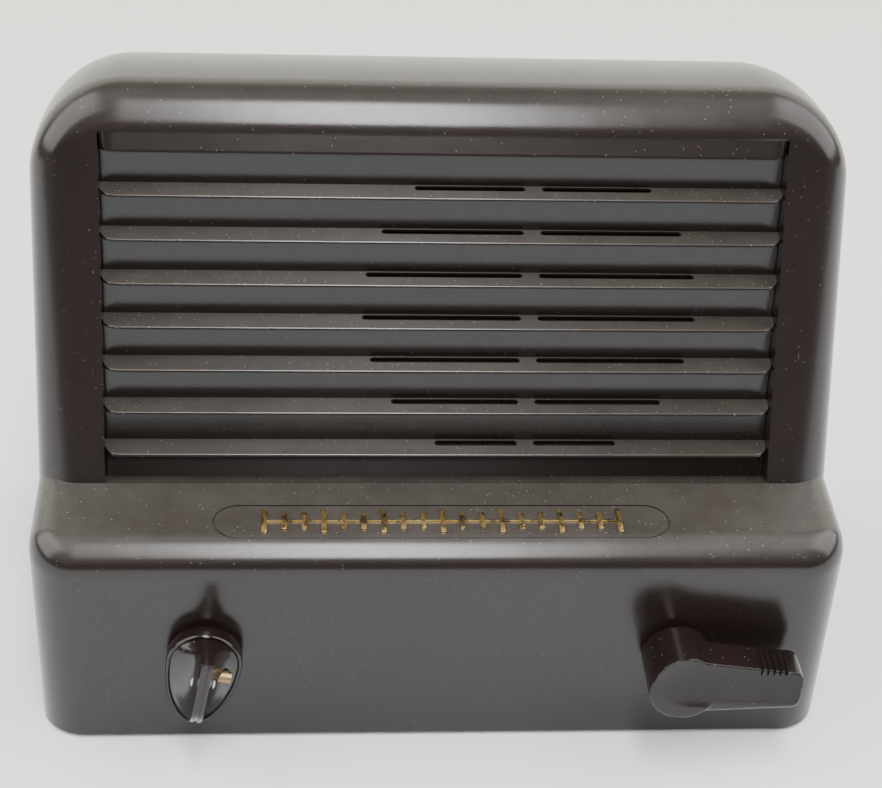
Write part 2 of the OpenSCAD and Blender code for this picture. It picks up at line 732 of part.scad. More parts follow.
module volume_knob() {
    grip_low = -vk_reach + 4;
    grip_len = vk_reach + vk_r - 5;
    scoop = 26;
    color([0.16, 0.10, 0.08]) at_shaft(volume_x) rotate(-vk_tilt) difference() {
        union() {
            translate([0, 0, knob_gap]) linear_extrude(vk_base_t) pointer(0);
            difference() {
                hull() {
                    translate([0, 0, knob_gap + vk_base_t]) linear_extrude(0.1) pointer(-0.8);
                    translate([-vk_grip_w / 2, grip_low, vk_h - 2]) cube([vk_grip_w, grip_len, 2]);
                    translate([-vk_grip_w / 2 - 1.4, grip_low + 4, vk_h - 5])
                        cube([vk_grip_w + 2.8, grip_len - 4, 2]);
                }
                for (side = [-1, 1])
                    translate([side * (scoop + vk_grip_w / 2 + 0.6), -2 * vk_reach, vk_h + 7])
                        rotate([-90, 0, 0]) cylinder(r = scoop, h = 4 * vk_reach);
            }
        }
        translate([0, 0, -1]) cylinder(r = shaft_r + 0.03, h = vk_h - 3.9 + 1);
        translate([0, 0, knob_gap + vk_screw_h]) rotate([0, 90, 0]) cylinder(r = 1.7, h = 20);
        translate([0, grip_low - 10, vk_h - 0.3]) cube([0.7, grip_len + 20, 1]);
    }
}

module set_screw(x, turn, out, l) {
    color([0.72, 0.56, 0.28]) at_shaft(x) rotate(turn) translate([0, 0, out]) rotate([0, 90, 0])
        difference() {
            translate([0, 0, shaft_r + 0.02]) cylinder(r = 1.6, h = l);
            translate([-0.3, -2, shaft_r + l - 0.8]) cube([0.6, 4, 2]);
        }
}

// ---- Talk lever --------------------------------------------------------------------------
module talk_frame() {
    deep = flange_in + talk_l;
    color([0.66, 0.67, 0.66]) at_shaft(talk_x) difference() {
        union() {
            translate([0, 0, -flange_in - plate]) cylinder(r = bushing_r, h = sheet + bushing_out + plate);
            translate([-talk_half, -talk_half, -flange_in - plate]) cube([2 * talk_half, 2 * talk_half, plate]);
            translate([-talk_half, -talk_half, -deep]) cube([2 * talk_half, plate, talk_l]);
            translate([-talk_half, -talk_half, -deep]) cube([2 * talk_half, 2 * talk_half, plate]);
        }
        bushing_hole(flange_in + plate + 1);
        translate([0, 0, -deep - 1]) cylinder(r = journal_r + run_fit, h = plate + 2);
    }
}

module talk_shaft() {
    deep = flange_in + talk_l;
    color([0.72, 0.72, 0.70]) at_shaft(talk_x) {
        translate([0, 0, -deep + plate + 0.4]) cylinder(r = shaft_r, h = deep - plate - 0.4 + tk_h - 4.5);
        translate([0, 0, -deep - 2]) cylinder(r = journal_r, h = plate + 3);
    }
}

module talk_cam() {
    color([0.30, 0.20, 0.14]) at_shaft(talk_x) translate([0, 0, -cam_y - cam_l]) difference() {
        union() {
            cylinder(r = cam_r, h = cam_l);
            translate([-cam_r - 2, -2, 0]) cube([4, 4, cam_l]);
        }
        translate([0, 0, -1]) cylinder(r = shaft_r + 0.03, h = cam_l + 2);
    }
}

// Torsion spring round the shaft, between the cam and the rear plate
module talk_spring() {
    color([0.60, 0.62, 0.64]) at_shaft(talk_x)
        tube(shaft_r + 1.7, shaft_r + 0.5, -flange_in - talk_l + plate + 0.3, -cam_y - cam_l - 0.3);
}

leaf_z = cam_r + 3.4;
module talk_leaves() {
    color([0.72, 0.58, 0.32]) at_shaft(talk_x) for (i = [0 : 2])
        translate([-leaf_w / 2, leaf_z + i * (leaf_t + leaf_gap) , -flange_in - talk_l + 2.4])
            cube([leaf_w, leaf_t, talk_l - plate - 2.4]);
}

module talk_spacers() {
    long = 5;
    color([0.35, 0.22, 0.14]) at_shaft(talk_x) {
        for (i = [0 : 1]) translate([-leaf_w, leaf_z + leaf_t + i * (leaf_t + leaf_gap),
            -flange_in - plate - long]) cube([2 * leaf_w, leaf_gap, long]);
    }
}

module talk_knob() {
    arm_low = 4;
    arm_top = tk_h - 0.6;
    tip_r = 2.4;
    scoop = 48;
    color([0.20, 0.10, 0.08]) at_shaft(talk_x) rotate(-tk_droop) difference() {
        union() {
            translate([0, 0, knob_gap]) cylinder(r = tk_hub_r, h = tk_h - knob_gap);
            hull() {
                translate([tk_hub_r * 0.35, 0, arm_low]) cylinder(r = tk_hub_r * 0.86, h = arm_top - arm_low, $fn = 32);
                for (side = [-1, 1])
                    translate([tk_reach - tip_r, side * (tk_tip_w / 2 - tip_r), arm_low + 2])
                        cylinder(r = tip_r, h = arm_top - arm_low - 2, $fn = 24);
            }
        }
        // Shallow thumb hollow in the front, leaving the hub's lower front flat
        translate([tk_reach * 0.35, tk_hub_r * 1.1, tk_h + scoop - thumb_d]) rotate([0, 90, 0])
            cylinder(r = scoop, h = 4 * tk_reach, center = true, $fn = 96);
        for (i = [0 : tk_ribs]) translate([tk_reach - 11 + i * 1.7, 0, 0])
            cube([0.7, tk_tip_w, tk_h + 2]);
        translate([0, 0, -1]) cylinder(r = shaft_r + 0.03, h = tk_h - 4.4 + 1);
        translate([0, 0, knob_gap + 5]) rotate([90, 0, 0]) cylinder(r = 1.7, h = 20);
    }
}

// ---- Base, feet and back -----------------------------------------------------------------
module base_plate() {
    gap = wall + fit_gap;
    y0 = panel_draft + gap;
    r = corner_r - gap;
    color([0.30, 0.26, 0.22]) difference() {
        translate([0, 0, base_z]) linear_extrude(base_t) {
            for (side = [-1, 1]) translate([side * (half_w - gap - r), y0 + r]) circle(r);
            translate([-half_w + gap + r, y0]) square([cabinet_w - 2 * gap - 2 * r, r + 1]);
            translate([-half_w + gap, y0 + r]) square([cabinet_w - 2 * gap, cover_front - fit_gap - y0 - r]);
        }
        for (side = [-1, 1]) for (y = [post_front, post_back])
            translate([side * post_x, y, base_z - 1]) cylinder(r = screw_r + screw_gap, h = base_t + 2);
        for (i = [-4 : 4]) translate([i * 15 - 1.5, 45, base_z - 1]) cube([3, 40, base_t + 2]);
    }
}

module rubber_feet() {
    color([0.06, 0.06, 0.06]) for (side = [-1, 1]) for (y = [post_front, post_back])
        translate([side * post_x, y, 0]) difference() {
            cylinder(r = foot_r, h = foot_h);
            translate([0, 0, -1]) cylinder(r = head_r + 0.8, h = foot_h / 2 + 1);
            translate([0, 0, -1]) cylinder(r = screw_r + screw_gap, h = foot_h + 2);
        }
}

module base_screws() {
    color([0.62, 0.62, 0.60]) for (side = [-1, 1]) for (y = [post_front, post_back])
        translate([side * post_x, y, foot_h / 2]) {
            translate([0, 0, -head_t * 0.8]) cylinder(r = head_r, h = head_t * 0.8);
            cylinder(r = screw_r, h = post_z - foot_h / 2 + thread_l - 1);
        }
}

// Height of the cavity's top at the cover, x off the middle
function cavity_top(x) =
    let (r = crown_r - wall - inset(x, half_w - wall, top_side_r - wall))
    crown_c[1] + sqrt(r * r - pow(cover_back - crown_c[0], 2));

module cover_outline() {
    side = half_w - wall - fit_gap;
    xs = [for (x = cuts_x(side, top_side_r - wall - fit_gap)) x];
    polygon(concat([[side, tab_z]], [for (i = [len(xs) - 1 : -1 : 0]) [xs[i], cavity_top(xs[i]) - 0.6]],
        [[-side, tab_z]]));
}

module back_cover() {
    color([0.33, 0.25, 0.18]) difference() {
        translate([0, cover_back, 0]) rotate([90, 0, 0]) linear_extrude(cover_t) cover_outline();
        for (side = [-1, 1]) for (z = [boss_low, boss_high])
            translate([side * boss_x, cover_front - 1, z]) rotate([-90, 0, 0])
                cylinder(r = screw_r + screw_gap, h = cover_t + 2);
        for (i = [-5 : 5]) for (j = [0 : 4])
            translate([i * vent_pitch, cover_front - 1, 70 + j * vent_pitch]) rotate([-90, 0, 0])
                cylinder(r = vent_r, h = cover_t + 2);
        translate([-window_w / 2, cover_front - 1, strip_z - window_h / 2])
            cube([window_w, cover_t + 2, window_h]);
        translate([grommet_x, cover_front - 1, grommet_z]) rotate([-90, 0, 0])
            cylinder(r = cord_r + grommet_t + 0.02, h = cover_t + 2);
    }
}

module back_screws() {
    color([0.62, 0.62, 0.60]) for (side = [-1, 1]) for (z = [boss_low, boss_high])
        translate([side * boss_x, cover_back, z]) rotate([-90, 0, 0]) {
            cylinder(r = head_r, h = head_t);
            translate([0, 0, -cover_t - thread_l]) cylinder(r = screw_r, h = cover_t + thread_l);
        }
}

// Rubber grommet: two collars hold it in the cover
module cord_grommet() {
    collar = cord_r + grommet_t + 2;
    color([0.07, 0.07, 0.07]) translate([grommet_x, cover_front, grommet_z]) rotate([-90, 0, 0])
        difference() {
            union() {
                translate([0, 0, -grommet_t]) cylinder(r = collar, h = grommet_t);
                cylinder(r = cord_r + grommet_t, h = cover_t);
                translate([0, 0, cover_t]) cylinder(r = collar, h = grommet_t);
            }
            translate([0, 0, -grommet_t - 1]) cylinder(r = cord_r, h = cover_t + 2 * grommet_t + 2);
        }
}

module terminal_strip() {
    color([0.22, 0.15, 0.11]) translate([0, chassis_back, strip_z]) difference() {
        translate([-window_w / 2 + 1, 0, -terminal_h / 2]) cube([window_w - 2, terminal_t, terminal_h]);
        for (x = terminal_x) translate([x, -1, 0]) rotate([-90, 0, 0])
            cylinder(r = 1.5 + thread_gap, h = terminal_t + 2);
    }
}

module terminal_screws() {
    color([0.74, 0.60, 0.32]) for (x = terminal_x)
        translate([x, chassis_back + terminal_t, strip_z]) rotate([-90, 0, 0]) {
            cylinder(r = 3.4, h = 1.8);
            translate([0, 0, -terminal_t - 1.5]) cylinder(r = 1.5, h = terminal_t + 1.5);
        }
}

module placed() { translate([0, shift_y, 0]) children(); }

placed() cabinet();
placed() ledge_ornament();
placed() speaker_gasket();
placed() speaker_frame();
placed() speaker_surround();
placed() speaker_cone();
placed() dust_cap();
placed() voice_coil();
placed() spider();
placed() magnet_pot();
placed() magnet_slug();
placed() speaker_screws();
placed() chassis();
placed() base_plate();
placed() rubber_feet();
placed() base_screws();
placed() valve_socket(0);  // valve_socket_1
placed() valve_socket(1);  // valve_socket_2
placed() valve_socket(2);  // valve_socket_3
placed() valve(0);  // valve_1
placed() valve(1);  // valve_2
placed() valve(2);  // valve_3
placed() filter_capacitor();
placed() transformer_core();
placed() transformer_coil();
placed() volume_control();
placed() washer(volume_x);  // volume_washer
placed() hex_nut(volume_x);  // volume_nut
placed() volume_shaft();
placed() volume_knob();
placed()  // volume_set_screw
    set_screw(volume_x, -vk_tilt, knob_gap + vk_screw_h, 4);
placed() talk_frame();
placed() washer(talk_x);  // talk_washer
placed() hex_nut(talk_x);  // talk_nut
placed() talk_shaft();
placed() talk_cam();
placed() talk_spring();
placed() talk_leaves();
placed() talk_spacers();
placed() talk_knob();
placed()  // talk_set_screw
    set_screw(talk_x, -90 - tk_droop, knob_gap + 5, 4);
placed() back_cover();
placed() back_screws();
placed() cord_grommet();
placed() terminal_strip();
placed() terminal_screws();
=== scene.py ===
# %% [markdown]
# # Dressing a desk intercom
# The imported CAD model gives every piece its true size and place. This lesson builds the looks
# round it: the glossy moulded cabinet, the two knobs, the gilt ornament, the screws and feet, and
# a procedural finish for all that shows. Everything is in metres, X to the right, Y to the back.

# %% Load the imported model
import json
import math
import bmesh
import bpy
from mathutils import Matrix, Vector

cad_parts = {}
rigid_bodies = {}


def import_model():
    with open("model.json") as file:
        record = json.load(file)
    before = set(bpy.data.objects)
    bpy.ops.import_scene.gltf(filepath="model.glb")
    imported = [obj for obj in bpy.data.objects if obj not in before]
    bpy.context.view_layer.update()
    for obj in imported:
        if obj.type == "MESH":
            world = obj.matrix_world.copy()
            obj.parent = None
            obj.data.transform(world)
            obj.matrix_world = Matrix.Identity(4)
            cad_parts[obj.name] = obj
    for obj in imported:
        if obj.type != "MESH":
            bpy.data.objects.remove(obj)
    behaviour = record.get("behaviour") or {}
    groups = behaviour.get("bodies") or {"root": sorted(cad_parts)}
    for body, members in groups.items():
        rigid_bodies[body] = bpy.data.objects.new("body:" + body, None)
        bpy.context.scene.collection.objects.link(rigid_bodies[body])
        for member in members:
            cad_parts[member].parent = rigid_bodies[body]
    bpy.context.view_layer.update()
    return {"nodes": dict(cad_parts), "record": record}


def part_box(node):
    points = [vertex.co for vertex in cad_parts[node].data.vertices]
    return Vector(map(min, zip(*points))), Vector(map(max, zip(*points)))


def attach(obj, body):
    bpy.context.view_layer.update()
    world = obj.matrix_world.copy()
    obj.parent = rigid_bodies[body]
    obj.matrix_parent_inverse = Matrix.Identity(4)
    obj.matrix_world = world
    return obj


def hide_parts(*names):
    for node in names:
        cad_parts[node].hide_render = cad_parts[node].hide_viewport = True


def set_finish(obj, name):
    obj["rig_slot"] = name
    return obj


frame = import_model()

nodes = frame["nodes"]
MM = 0.001
NEAR = 1e-6

# %% [markdown]
# ## The camera
# The photograph was taken from close by and above, a little to the left of the middle and looking
# down by 34 degrees. The camera is placed from those angles, and rolled by 3 degrees as the
# photographer's hand was. Its view never needs a shift, because the middle of the picture is the
# middle of the lens.

# %% Place the camera
PICTURE_W = 882
FOCAL_PX = 1944.5
EYE = Vector((-37.65, -443.0, 378.8)) * MM
YAW, PITCH, ROLL = (math.radians(a) for a in (5.0, 33.84, 3.0))

ahead = Vector((math.sin(YAW) * math.cos(PITCH), math.cos(YAW) * math.cos(PITCH), -math.sin(PITCH)))
level = Vector((math.cos(YAW), -math.sin(YAW), 0))
upright = level.cross(ahead)
right = math.cos(ROLL) * level + math.sin(ROLL) * upright
above = -math.sin(ROLL) * level + math.cos(ROLL) * upright
bpy.ops.object.camera_add(location=EYE)
camera = bpy.context.object
camera.name = "camera"
turn = Matrix((right, above, -ahead)).transposed().to_4x4()
camera.matrix_world = Matrix.Translation(EYE) @ turn
camera.data.sensor_width = 36
camera.data.lens = FOCAL_PX * camera.data.sensor_width / PICTURE_W
camera.data.clip_start = 0.01
bpy.context.scene.camera = camera
print("lens:", round(camera.data.lens, 2), "mm")

# %% [markdown]
# ## Tools used all through
# Operators act on whatever is selected, and a fresh import leaves the CAD pieces selected. So each
# step starts by letting go of everything. The other helpers pick faces by a rule, apply a modifier,
# place a rod, and wrap a sheet round a row of outlines, as a boat's skin is wrapped round its ribs.

# %% Helpers for selecting and applying
def let_go():
    if bpy.context.object and bpy.context.object.mode != "OBJECT":
        bpy.ops.object.mode_set(mode="OBJECT")
    bpy.ops.object.select_all(action="DESELECT")


def hold(*objects):
    let_go()
    for obj in objects:
        obj.select_set(True)
    bpy.context.view_layer.objects.active = objects[-1]
    return objects[-1]


def named(name):
    obj = bpy.context.object
    obj.name = obj.data.name = name
    return obj


def settle(obj):
    """Moves the object's place into its mesh, so that it sits at the origin unturned."""
    hold(obj)
    bpy.ops.object.transform_apply(location=True, rotation=True, scale=True)
    return obj


def rod(name, radius, depth, place, vertices):
    """A cylinder along the place's local z, from sizes in millimetres."""
    let_go()
    bpy.ops.mesh.primitive_cylinder_add(vertices=vertices, radius=radius * MM, depth=depth * MM)
    piece = named(name)
    piece.matrix_world = place
    return settle(piece)


def applied(obj, kind, **settings):
    hold(obj)
    modifier = obj.modifiers.new(kind.lower(), kind)
    for key, value in settings.items():
        setattr(modifier, key, value)
    bpy.ops.object.modifier_apply(modifier=modifier.name)
    return obj


def combined(obj, tool, operation):
    """Adds the tool's solid to the piece, or cuts it away, and takes the tool off the bench."""
    applied(obj, "BOOLEAN", object=tool, operation=operation, solver="EXACT")
    bpy.data.objects.remove(tool)
    return obj


def pick(obj, kind, rule):
    """Selects the faces, edges or vertices that the rule says yes to, in edit mode."""
    hold(obj)
    bpy.ops.object.mode_set(mode="EDIT")
    bpy.ops.mesh.select_mode(type=kind)
    bpy.ops.mesh.select_all(action="DESELECT")
    mesh = bmesh.from_edit_mesh(obj.data)
    items = {"FACE": mesh.faces, "EDGE": mesh.edges, "VERT": mesh.verts}[kind]
    count = 0
    for item in items:
        if rule(item):
            item.select_set(True)
            count += 1
    mesh.select_flush_mode()
    bmesh.update_edit_mesh(obj.data)
    return count


def done_editing():
    bpy.ops.object.mode_set(mode="OBJECT")


def shade(obj, angle):
    hold(obj)
    bpy.ops.object.shade_smooth_by_angle(angle=math.radians(angle))
    return obj


def lofted(name, outlines):
    """A closed skin round a row of closed outlines, which all have as many points."""
    let_go()
    cols, rows = len(outlines), len(outlines[0])
    bpy.ops.mesh.primitive_grid_add(x_subdivisions=cols - 1, y_subdivisions=rows, size=2)
    skin = named(name)
    for vertex in skin.data.vertices:
        i = round((vertex.co.x + 1) / 2 * (cols - 1))
        j = round((vertex.co.y + 1) / 2 * rows) % rows
        vertex.co = Vector(outlines[i][j])
    bpy.ops.object.mode_set(mode="EDIT")
    bpy.ops.mesh.select_all(action="SELECT")
    bpy.ops.mesh.remove_doubles(threshold=1e-7)
    bpy.ops.mesh.fill_holes(sides=0)
    bpy.ops.mesh.select_all(action="SELECT")
    bpy.ops.mesh.normals_make_consistent(inside=False)
    done_editing()
    return skin


# %% [markdown]
# ## The cabinet's outline
# Seen from the side, the moulding is a low panel, a bend, a ledge, a leaning face, a second bend and
# a crowned top. All of it draws in towards the two sides: the front corners by 12 mm, the top's side
# edges by 25 mm and the ledge's by 7 mm. So one outline with three amounts of draw-in gives every
# section of the body, and the same function, drawn in by the wall, gives the hollow.

# %% The cabinet's sizes
HALF_W = 108.0
BACK = 119.0
EDGE_GAP = 1.0
WALL = 3.2
DRAFT = 1.5
CORNER_R, TOP_SIDE_R, LEDGE_SIDE_R = 12.0, 25.0, 7.0
LEDGE_FRONT, LEDGE_BACK, LEDGE_D = 65.4, 67.3, 27.9
LEDGE_BEND, TOP_BEND, CROWN = 9.0, 13.0, 110.0
CROWN_START = 5.0
LEAN = math.radians(19)
FACE_LEN = 94.0
SHIFT_Y = -51.1

up_face = Vector((math.sin(LEAN), math.cos(LEAN)))
into_face = Vector((math.cos(LEAN), -math.sin(LEAN)))
ledge_corner = Vector((LEDGE_D, LEDGE_BACK))
ledge_slope = (LEDGE_BACK - LEDGE_FRONT) / LEDGE_D
panel_slope = DRAFT / (LEDGE_FRONT - EDGE_GAP)
bend_mid = ledge_corner + FACE_LEN * up_face + TOP_BEND * into_face
crown_turn = math.radians(90 + CROWN_START)
crown_mid = bend_mid - (CROWN - TOP_BEND) * Vector((-math.cos(crown_turn), math.sin(crown_turn)))


def at(x, y, z):
    """A place on the object, from millimetres with the front panel at y = 0."""
    return Vector((x, y + SHIFT_Y, z)) * MM


def on_face(up, deep):
    """Side-plane place that is so far up the leaning face and so deep behind it."""
    return ledge_corner + up * up_face + deep * into_face


def drawn_in(x, half, radius):
    over = abs(x) - (half - radius)
    return 0.0 if over <= 0 else radius - math.sqrt(max(0.0, radius * radius - over * over))


def fillet(before, corner, after, radius, steps):
    """Points of a round of that radius at a corner of a side-plane outline."""
    u, v = (before - corner).normalized(), (after - corner).normalized()
    half = math.acos(max(-1, min(1, u.dot(v)))) / 2
    mid = corner + (u + v).normalized() * radius / math.sin(half)
    start = corner + u * radius / math.tan(half) - mid
    end = corner + v * radius / math.tan(half) - mid
    sweep = math.atan2(start.x * end.y - start.y * end.x, start.dot(end))
    points = []
    for i in range(steps + 1):
        a = sweep * i / steps
        points.append(mid + Vector((start.x * math.cos(a) - start.y * math.sin(a),
                                    start.x * math.sin(a) + start.y * math.cos(a))))
    return points


# %% [markdown]
# The crown is one long arc, and the bend below it has to touch both the arc and the face. Its middle
# is found where a line beside the face meets a circle beside the crown.

# %% One section of the body
BEND_STEPS, CROWN_STEPS, SIDE_STEPS = 12, 10, 20
LEAST_BEND = 1.5


def section(panel_in, top_in, ledge_in, low, back):
    foot = Vector((panel_in + panel_slope * (LEDGE_FRONT - low), low))
    fy = (panel_in + panel_slope * ledge_in) / (1 + panel_slope * ledge_slope)
    front = Vector((fy, LEDGE_FRONT - ledge_in + ledge_slope * fy))
    lean = math.tan(LEAN)
    ky = (LEDGE_D + panel_in / math.cos(LEAN) + (LEDGE_FRONT - ledge_in - LEDGE_BACK) * lean) \
        / (1 - ledge_slope * lean)
    notch = Vector((ky, LEDGE_FRONT - ledge_in + ledge_slope * ky))
    r1 = max(TOP_BEND - panel_in, LEAST_BEND)
    rho = CROWN - top_in - r1
    off = ledge_corner + (panel_in + r1) * into_face - crown_mid
    t = -off.dot(up_face) + math.sqrt(off.dot(up_face) ** 2 - off.dot(off) + rho * rho)
    mid = ledge_corner + (panel_in + r1) * into_face + t * up_face
    first = LEAN
    last = math.atan2(mid.y - crown_mid.y, crown_mid.x - mid.x)
    end = math.acos(-(back - crown_mid.x) / (CROWN - top_in))
    points = [foot]
    ledge_bend = max(LEDGE_BEND - min(panel_in, ledge_in), LEAST_BEND)
    points += fillet(foot, front, notch, ledge_bend, BEND_STEPS)
    points.append(notch)
    for i in range(BEND_STEPS + 1):
        a = first + (last - first) * i / BEND_STEPS
        points.append(mid + r1 * Vector((-math.cos(a), math.sin(a))))
    for i in range(1, CROWN_STEPS + 1):
        a = last + (end - last) * i / CROWN_STEPS
        points.append(crown_mid + (CROWN - top_in) * Vector((-math.cos(a), math.sin(a))))
    points.append(Vector((back, low)))
    return points


def body(name, shrink, low, back):
    """The whole form, drawn in by shrink, as a closed solid."""
    half = HALF_W - shrink
    reach = TOP_SIDE_R - shrink
    steps = [math.radians(90 * i / SIDE_STEPS) for i in range(SIDE_STEPS + 1)]
    places = [-(half - reach + reach * math.sin(a)) for a in reversed(steps)]
    places += [half - reach + reach * math.sin(a) for a in steps]
    outlines = []
    for x in places:
        draw = [shrink + drawn_in(x, half, r - shrink)
                for r in (CORNER_R, TOP_SIDE_R, LEDGE_SIDE_R)]
        outlines.append([at(x, p.x, p.y) for p in section(*draw, low, back)])
    return lofted(name, outlines)


moulding = body("moulding", 0, EDGE_GAP, BACK)
print("outer form:", len(moulding.data.polygons), "faces")

# %% [markdown]
# ## Soft edges and the hollow
# No moulding has a knife edge. The bottom and rear rims get a small round while they are still plain
# loops, because a bevel is cleanest before anything is cut. Then the hollow is taken out.

# %% Round the rims, then hollow the body
RIM_ROUND, PAST_RIM = 0.6 * MM, 2
low_z = EDGE_GAP * MM
back_y = (BACK + SHIFT_Y) * MM


def flat_at(item, axis, place):
    return all(abs(v.co[axis] - place) < NEAR for v in item.verts)


def rim_edge(edge):
    """An edge where the bottom or the rear plane meets another face."""
    return any(flat_at(edge, axis, place)
               and sum(flat_at(face, axis, place) for face in edge.link_faces) == 1
               for axis, place in ((2, low_z), (1, back_y)))


print("rim edges:", pick(moulding, "EDGE", rim_edge))
bpy.ops.mesh.bevel(offset=RIM_ROUND, segments=3, affect="EDGES")
done_editing()

hollow = body("hollow", WALL, EDGE_GAP - PAST_RIM, BACK + PAST_RIM)
combined(moulding, hollow, "DIFFERENCE")
print("hollowed moulding:", len(moulding.data.polygons), "faces")

# %% [markdown]
# ## The louvres
# Eight slats stand in a shallow recess. Each slat has a level upper side 7 mm deep and a thin lip
# whose front lies on the face's plane. Under the lip an upright wall goes down to the next slat.
# Above the top slat the face runs on, tipped back a little, up to a fine crease. At both ends
# the lip curves back into the recess's wall. A solid block behind the face carries them.
# One cutter takes out all the air in front of the slats. Its section is a saw, rounded at the slats'
# edges, and near its ends each section is pushed back along a quarter circle. Its lowest side stands
# a hair above the ledge, because two surfaces that almost coincide leave slivers behind.

# %% The louvres' sizes
SLATS, PITCH, FIRST = 8, 11.55, 8.1
RECESS_HALF = 89.3
STRIP_D, LIP = 7.0, 0.9
RECESS_OVER = 4.25
CREASE, CREASE_RUN = 0.5, 0.6
FLOOR, IN_FRONT, FOOT_SHARE = 0.15, -4.0, 0.9
END_R = 4.0
NOSE_R, LIP_LOW_R, KNEE_R = 0.5, 0.2, 0.6
NOSE_STEPS = 5
LIP_BACK, LIP_LEAST = 4.1, 0.9
drop, rise = STRIP_D * math.cos(LEAN), STRIP_D * math.sin(LEAN)
BLOCK_D = drop + 2.6
BLOCK_SKIN, BLOCK_TOP_SKIN, BLOCK_TOP = 2, 4.5, 5
recess_top = FIRST + (SLATS - 1) * PITCH + RECESS_OVER
slats = [FIRST + i * PITCH for i in range(SLATS)]
print("recess ends", round(recess_top, 2), "mm up the face; slats:", len(slats))


def saw(back_off):
    """The cutter's section where the slats' fronts stand back by back_off."""
    level_back = rise / drop
    foot = Vector((FLOOR, drop - (PITCH - rise - FIRST) * level_back * FOOT_SHARE))
    points = [Vector((FLOOR, IN_FRONT)), Vector((FLOOR, 0.0)), foot]
    for s in slats:
        low = Vector((s - LIP + level_back * back_off, back_off))
        top = Vector((s + level_back * back_off, back_off))
        deep = max(LIP_BACK, back_off + LIP_LEAST)
        knee = Vector((s - LIP + level_back * deep, deep))
        strip_way = Vector((s + rise, drop)) if s < slats[-1] else Vector((recess_top, CREASE))
        points += fillet(foot, knee, low, KNEE_R, NOSE_STEPS)
        points += fillet(knee, low, top, LIP_LOW_R, NOSE_STEPS)
        points += fillet(low, top, strip_way, NOSE_R, NOSE_STEPS)
        points.append(strip_way)
        foot = strip_way
    points += [Vector((recess_top + CREASE_RUN, deep)) for deep in (0.0, IN_FRONT)]
    return points


# %% Cut the recess into a block behind the face
block_outline = [on_face(-1, BLOCK_SKIN), on_face(FACE_LEN + 1, BLOCK_SKIN),
                 on_face(FACE_LEN + BLOCK_TOP, BLOCK_TOP_SKIN),
                 on_face(FACE_LEN + BLOCK_TOP, BLOCK_D), on_face(-1, BLOCK_D)]
block = lofted("block", [[at(x, p.x, p.y) for p in block_outline]
                         for x in (-RECESS_HALF - WALL, RECESS_HALF + WALL)])
combined(moulding, block, "UNION")

END_STEPS = 9
quarter = [math.radians(90 * i / END_STEPS) for i in range(END_STEPS + 1)]
stations = [(RECESS_HALF - END_R + END_R * math.sin(a), END_R - END_R * math.cos(a))
            for a in quarter]
cuts = [(-x, e) for x, e in reversed(stations)] + stations
recess = lofted("recess", [[at(x, *on_face(p.x, p.y)) for p in saw(e)] for x, e in cuts])
combined(moulding, recess, "DIFFERENCE")
print("with louvres:", len(moulding.data.polygons), "faces")

# %% [markdown]
# ## The sound slots
# Behind the seven lower slats, inside the speaker's circle, each strip has a narrow slot on both
# sides of a rib. A thin lip of the strip stays behind the slot.

# %% Cut the sound slots
SPK_X, SPK_S, SPK_R = 23.3, 47.7, 44.7
SLOT_W, SLOT_H, SLOT_LIP, RIB = 2.4, 2.2, 0.5, 4.4
SLOT_ROUND, SLOT_INSET, SLOT_THROUGH = SLOT_W * 0.45, 0.4, 14
SLOT_FLOOR, SLOT_ROOF = 0.05, 0.6
slot_tools = []


def box_tool(x0, x1, y0, y1, z0, z1, round_r=0.0):
    let_go()
    bpy.ops.mesh.primitive_cube_add(size=1)
    tool = named("tool")
    for vertex in tool.data.vertices:
        sx, sy, sz = (c + 0.5 for c in vertex.co)
        vertex.co = at(x0 + (x1 - x0) * sx, y0 + (y1 - y0) * sy, z0 + (z1 - z0) * sz)
    if round_r:
        pick(tool, "EDGE", lambda e: abs(e.verts[0].co.z - e.verts[1].co.z) > 1e-5)
        bpy.ops.mesh.bevel(offset=round_r * MM, segments=4, affect="EDGES")
        done_editing()
    return tool


for s in slats[:-1]:
    reach = s + rise - SPK_S
    long = math.sqrt(max(0.0, SPK_R * SPK_R - reach * reach))
    spot = on_face(s, 0)
    rear = spot.x + STRIP_D - SLOT_LIP
    for a, b in ((SPK_X - long, SPK_X - RIB / 2), (SPK_X + RIB / 2, SPK_X + long)):
        slot_tools.append(box_tool(a, b, rear - SLOT_W, rear, spot.y - SLOT_H, spot.y + 0.5,
                                   round_r=SLOT_ROUND))
        slot_tools.append(box_tool(a + SLOT_INSET, b - SLOT_INSET, rear - SLOT_W * 0.5,
                                   rear + SLOT_THROUGH, spot.y - SLOT_H + SLOT_FLOOR,
                                   spot.y - SLOT_ROOF))
for tool in slot_tools:
    combined(moulding, tool, "DIFFERENCE")
print("slots cut:", len(slot_tools) // 2)

# %% [markdown]
# ## The last cuts
# The oblong on the ledge is engraved with a solid bar from which a slightly smaller one was taken, so
# only a groove is left. Two holes let the shafts through. The sides are large and flat, and beside
# small round faces their shading would bend. So the normals are weighted by the faces' areas.

# %% The engraved oblong and the shaft holes
OBLONG_L, OBLONG_W, OBLONG_Y = 120.6, 13.0, 12.5
GROOVE_W, GROOVE_D = 0.55, 0.35
SHAFT_H, VOLUME_X, TALK_X = 32.2, -62.5, 63.5
SHAFT_R, SHAFT_ROOM, HOLE_DEPTH, HOLE_Y = 3.175, 1.0, 14, 3
OBLONG_STEPS = 16


